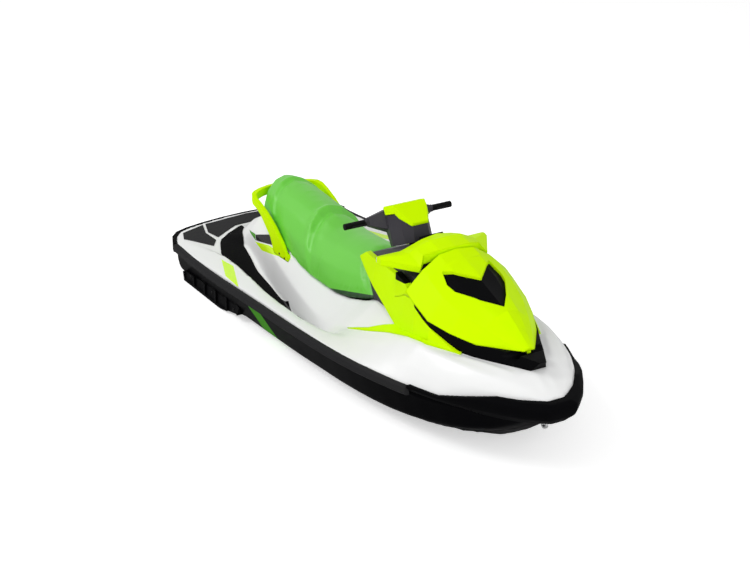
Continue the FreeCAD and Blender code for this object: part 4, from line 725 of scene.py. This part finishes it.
def add_screws():
    """Screws of the sponsons, the ride plate, the intake grate and the grab handle."""
    for side, word in ((-1, "starboard"), (1, "port")):
        starts = [(x, side * BESIDE_SPONSON, SPONSON_HEIGHT) for x in SPONSON_SCREWS]
        inward = (0.0, -side, 0.0)
        make_screws(f"sponson_screws_{word}", f"sponson_{word}", starts, inward, SCREW, "coated")
    starts = [(x, y, BELOW_KEEL) for x in PLATE_SCREWS for y in PLATE_BREADTHS]
    make_screws("plate_screws", "ride_plate", starts, UP, SCREW)
    starts = [(x, 0.0, BELOW_KEEL) for x in GRATE_SCREWS]
    make_screws("grate_screws", "intake_grate", starts, UP, SMALL_SCREW)
    for side, label in ((-1, "handle_screws"), (1, "handle_screws_port")):
        starts = [(x, side * BESIDE_HANDLE, z) for x, z in HANDLE_SCREWS]
        inward = (0.0, -side, 0.0)
        make_screws(label, "grab_handle", starts, inward, SMALL_SCREW, "coated")


def make_screen():
    """Flat glossy screen on the gauge's leaning face."""
    place, normal = surface_at("gauge", station(*SCREEN_START), AHEAD)
    bpy.ops.object.select_all(action="DESELECT")
    bpy.ops.mesh.primitive_cube_add(size=1.0, location=place)
    obj = bpy.context.object
    obj.name = "gauge_screen"
    obj.scale = SCREEN_SIZE
    obj.rotation_euler = (0.0, math.atan2(normal.x, normal.z), 0.0)
    bpy.ops.object.transform_apply(location=True, rotation=True, scale=True)
    round_edges(obj, SCREEN_ROUND, segments=2)
    shade(obj, ADDED_CREASE)
    return fit(obj, "craft", "plastic_black", "screen")


for name in nodes:
    if name in MOULDED:
        moulded_copy(name)
    elif name != "seat":
        smooth_copy(name)
make_seat_pad()
make_wing(-1, "cover_wing_starboard")
make_wing(1, "cover_wing_port")
make_screen()
add_screws()


# Floor, light and camera

FLOOR_SIZE = 400.0
# Share of the floor's own white that the camera sees beside the light on it
FLOOR_GLOW = 0.5
# Strength of the surroundings as light, and as the camera and reflections see them
AMBIENT = 0.4
BACKDROP = 1.0
# Lamps: name, place, size and power
LAMPS = (
    ("key", (-3.0, -5.6, 6.6), 5.0, 400.0),
    ("front", (7.0, -1.6, 2.8), 4.0, 190.0),
    ("port", (3.5, 6.0, 5.0), 5.0, 70.0),
)
LAMP_TARGET = (0.0, 0.0, 0.3)
# The photo's camera: degrees round from the starboard beam and up, distance, target and lens
CAMERA_AZIMUTH = 59.5
CAMERA_ELEVATION = 23.8
CAMERA_DISTANCE = 12.0016
CAMERA_TARGET = (-0.1021, -0.0035, 0.3656)
CAMERA_LENS = 105.65
CAMERA_SENSOR = 36.0
CAMERA_REACH = 400.0


def make_floor():
    """White floor at the waterline that keeps the craft's shadow."""
    bpy.ops.object.select_all(action="DESELECT")
    bpy.ops.mesh.primitive_plane_add(size=FLOOR_SIZE, location=(0.0, 0.0, 0.0))
    floor = bpy.context.object
    floor.name = "floor"
    plain = bpy.data.materials.new("floor white")
    plain.use_nodes = True
    tree = plain.node_tree
    shader = tree.nodes["Principled BSDF"]
    shader.inputs["Base Color"].default_value = (0.9, 0.9, 0.9, 1.0)
    shader.inputs["Roughness"].default_value = 0.9
    shader.inputs["Specular IOR Level"].default_value = 0.0
    shader.inputs["Emission Color"].default_value = (1.0, 1.0, 1.0, 1.0)
    ray = node(tree, "ShaderNodeLightPath")
    seen = node(tree, "ShaderNodeMath", operation="MULTIPLY")
    seen.inputs[1].default_value = FLOOR_GLOW
    tree.links.new(ray.outputs["Is Camera Ray"], seen.inputs[0])
    tree.links.new(seen.outputs[0], shader.inputs["Emission Strength"])
    floor.data.materials.append(plain)


def make_world():
    """White surroundings, weaker for the light that they give than as they are seen."""
    world = bpy.data.worlds.new("studio")
    bpy.context.scene.world = world
    world.use_nodes = True
    tree = world.node_tree
    back = tree.nodes["Background"]
    back.inputs["Color"].default_value = (1.0, 1.0, 1.0, 1.0)
    ray = node(tree, "ShaderNodeLightPath")
    first = node(tree, "ShaderNodeMath", operation="MAXIMUM")
    second = node(tree, "ShaderNodeMath", operation="MAXIMUM")
    level = node(tree, "ShaderNodeMapRange")
    level.inputs["To Min"].default_value = AMBIENT
    level.inputs["To Max"].default_value = BACKDROP
    tree.links.new(ray.outputs["Is Camera Ray"], first.inputs[0])
    tree.links.new(ray.outputs["Is Glossy Ray"], first.inputs[1])
    tree.links.new(first.outputs[0], second.inputs[0])
    tree.links.new(ray.outputs["Is Transmission Ray"], second.inputs[1])
    tree.links.new(second.outputs[0], level.inputs["Value"])
    tree.links.new(level.outputs["Result"], back.inputs["Strength"])


def aim(holder, place, target):
    """Puts a lamp or camera at a place, looking at a target."""
    holder.location = place
    holder.rotation_mode = "QUATERNION"
    holder.rotation_quaternion = (Vector(target) - Vector(place)).to_track_quat("-Z", "Y")
    bpy.context.scene.collection.objects.link(holder)


def make_lamps():
    """Soft key lamp over the starboard quarter, with weaker ones ahead and to port."""
    for name, place, size, power in LAMPS:
        lamp = bpy.data.lights.new(name, "AREA")
        lamp.size = size
        lamp.energy = power
        aim(bpy.data.objects.new(name, lamp), place, LAMP_TARGET)


def make_camera():
    """The photo's camera, far off the starboard bow."""
    azimuth, elevation = math.radians(CAMERA_AZIMUTH), math.radians(CAMERA_ELEVATION)
    target = Vector(CAMERA_TARGET)
    level = Vector((-math.sin(azimuth), math.cos(azimuth), 0.0)) * math.cos(elevation)
    ahead = level - Vector((0.0, 0.0, math.sin(elevation)))
    camera = bpy.data.cameras.new("camera")
    camera.lens = CAMERA_LENS
    camera.sensor_width = CAMERA_SENSOR
    camera.clip_end = CAMERA_REACH
    holder = bpy.data.objects.new("camera", camera)
    aim(holder, target - ahead * CAMERA_DISTANCE, target)
    bpy.context.scene.camera = holder


make_floor()
make_world()
make_lamps()
make_camera()
bpy.context.scene.view_settings.view_transform = "Standard"
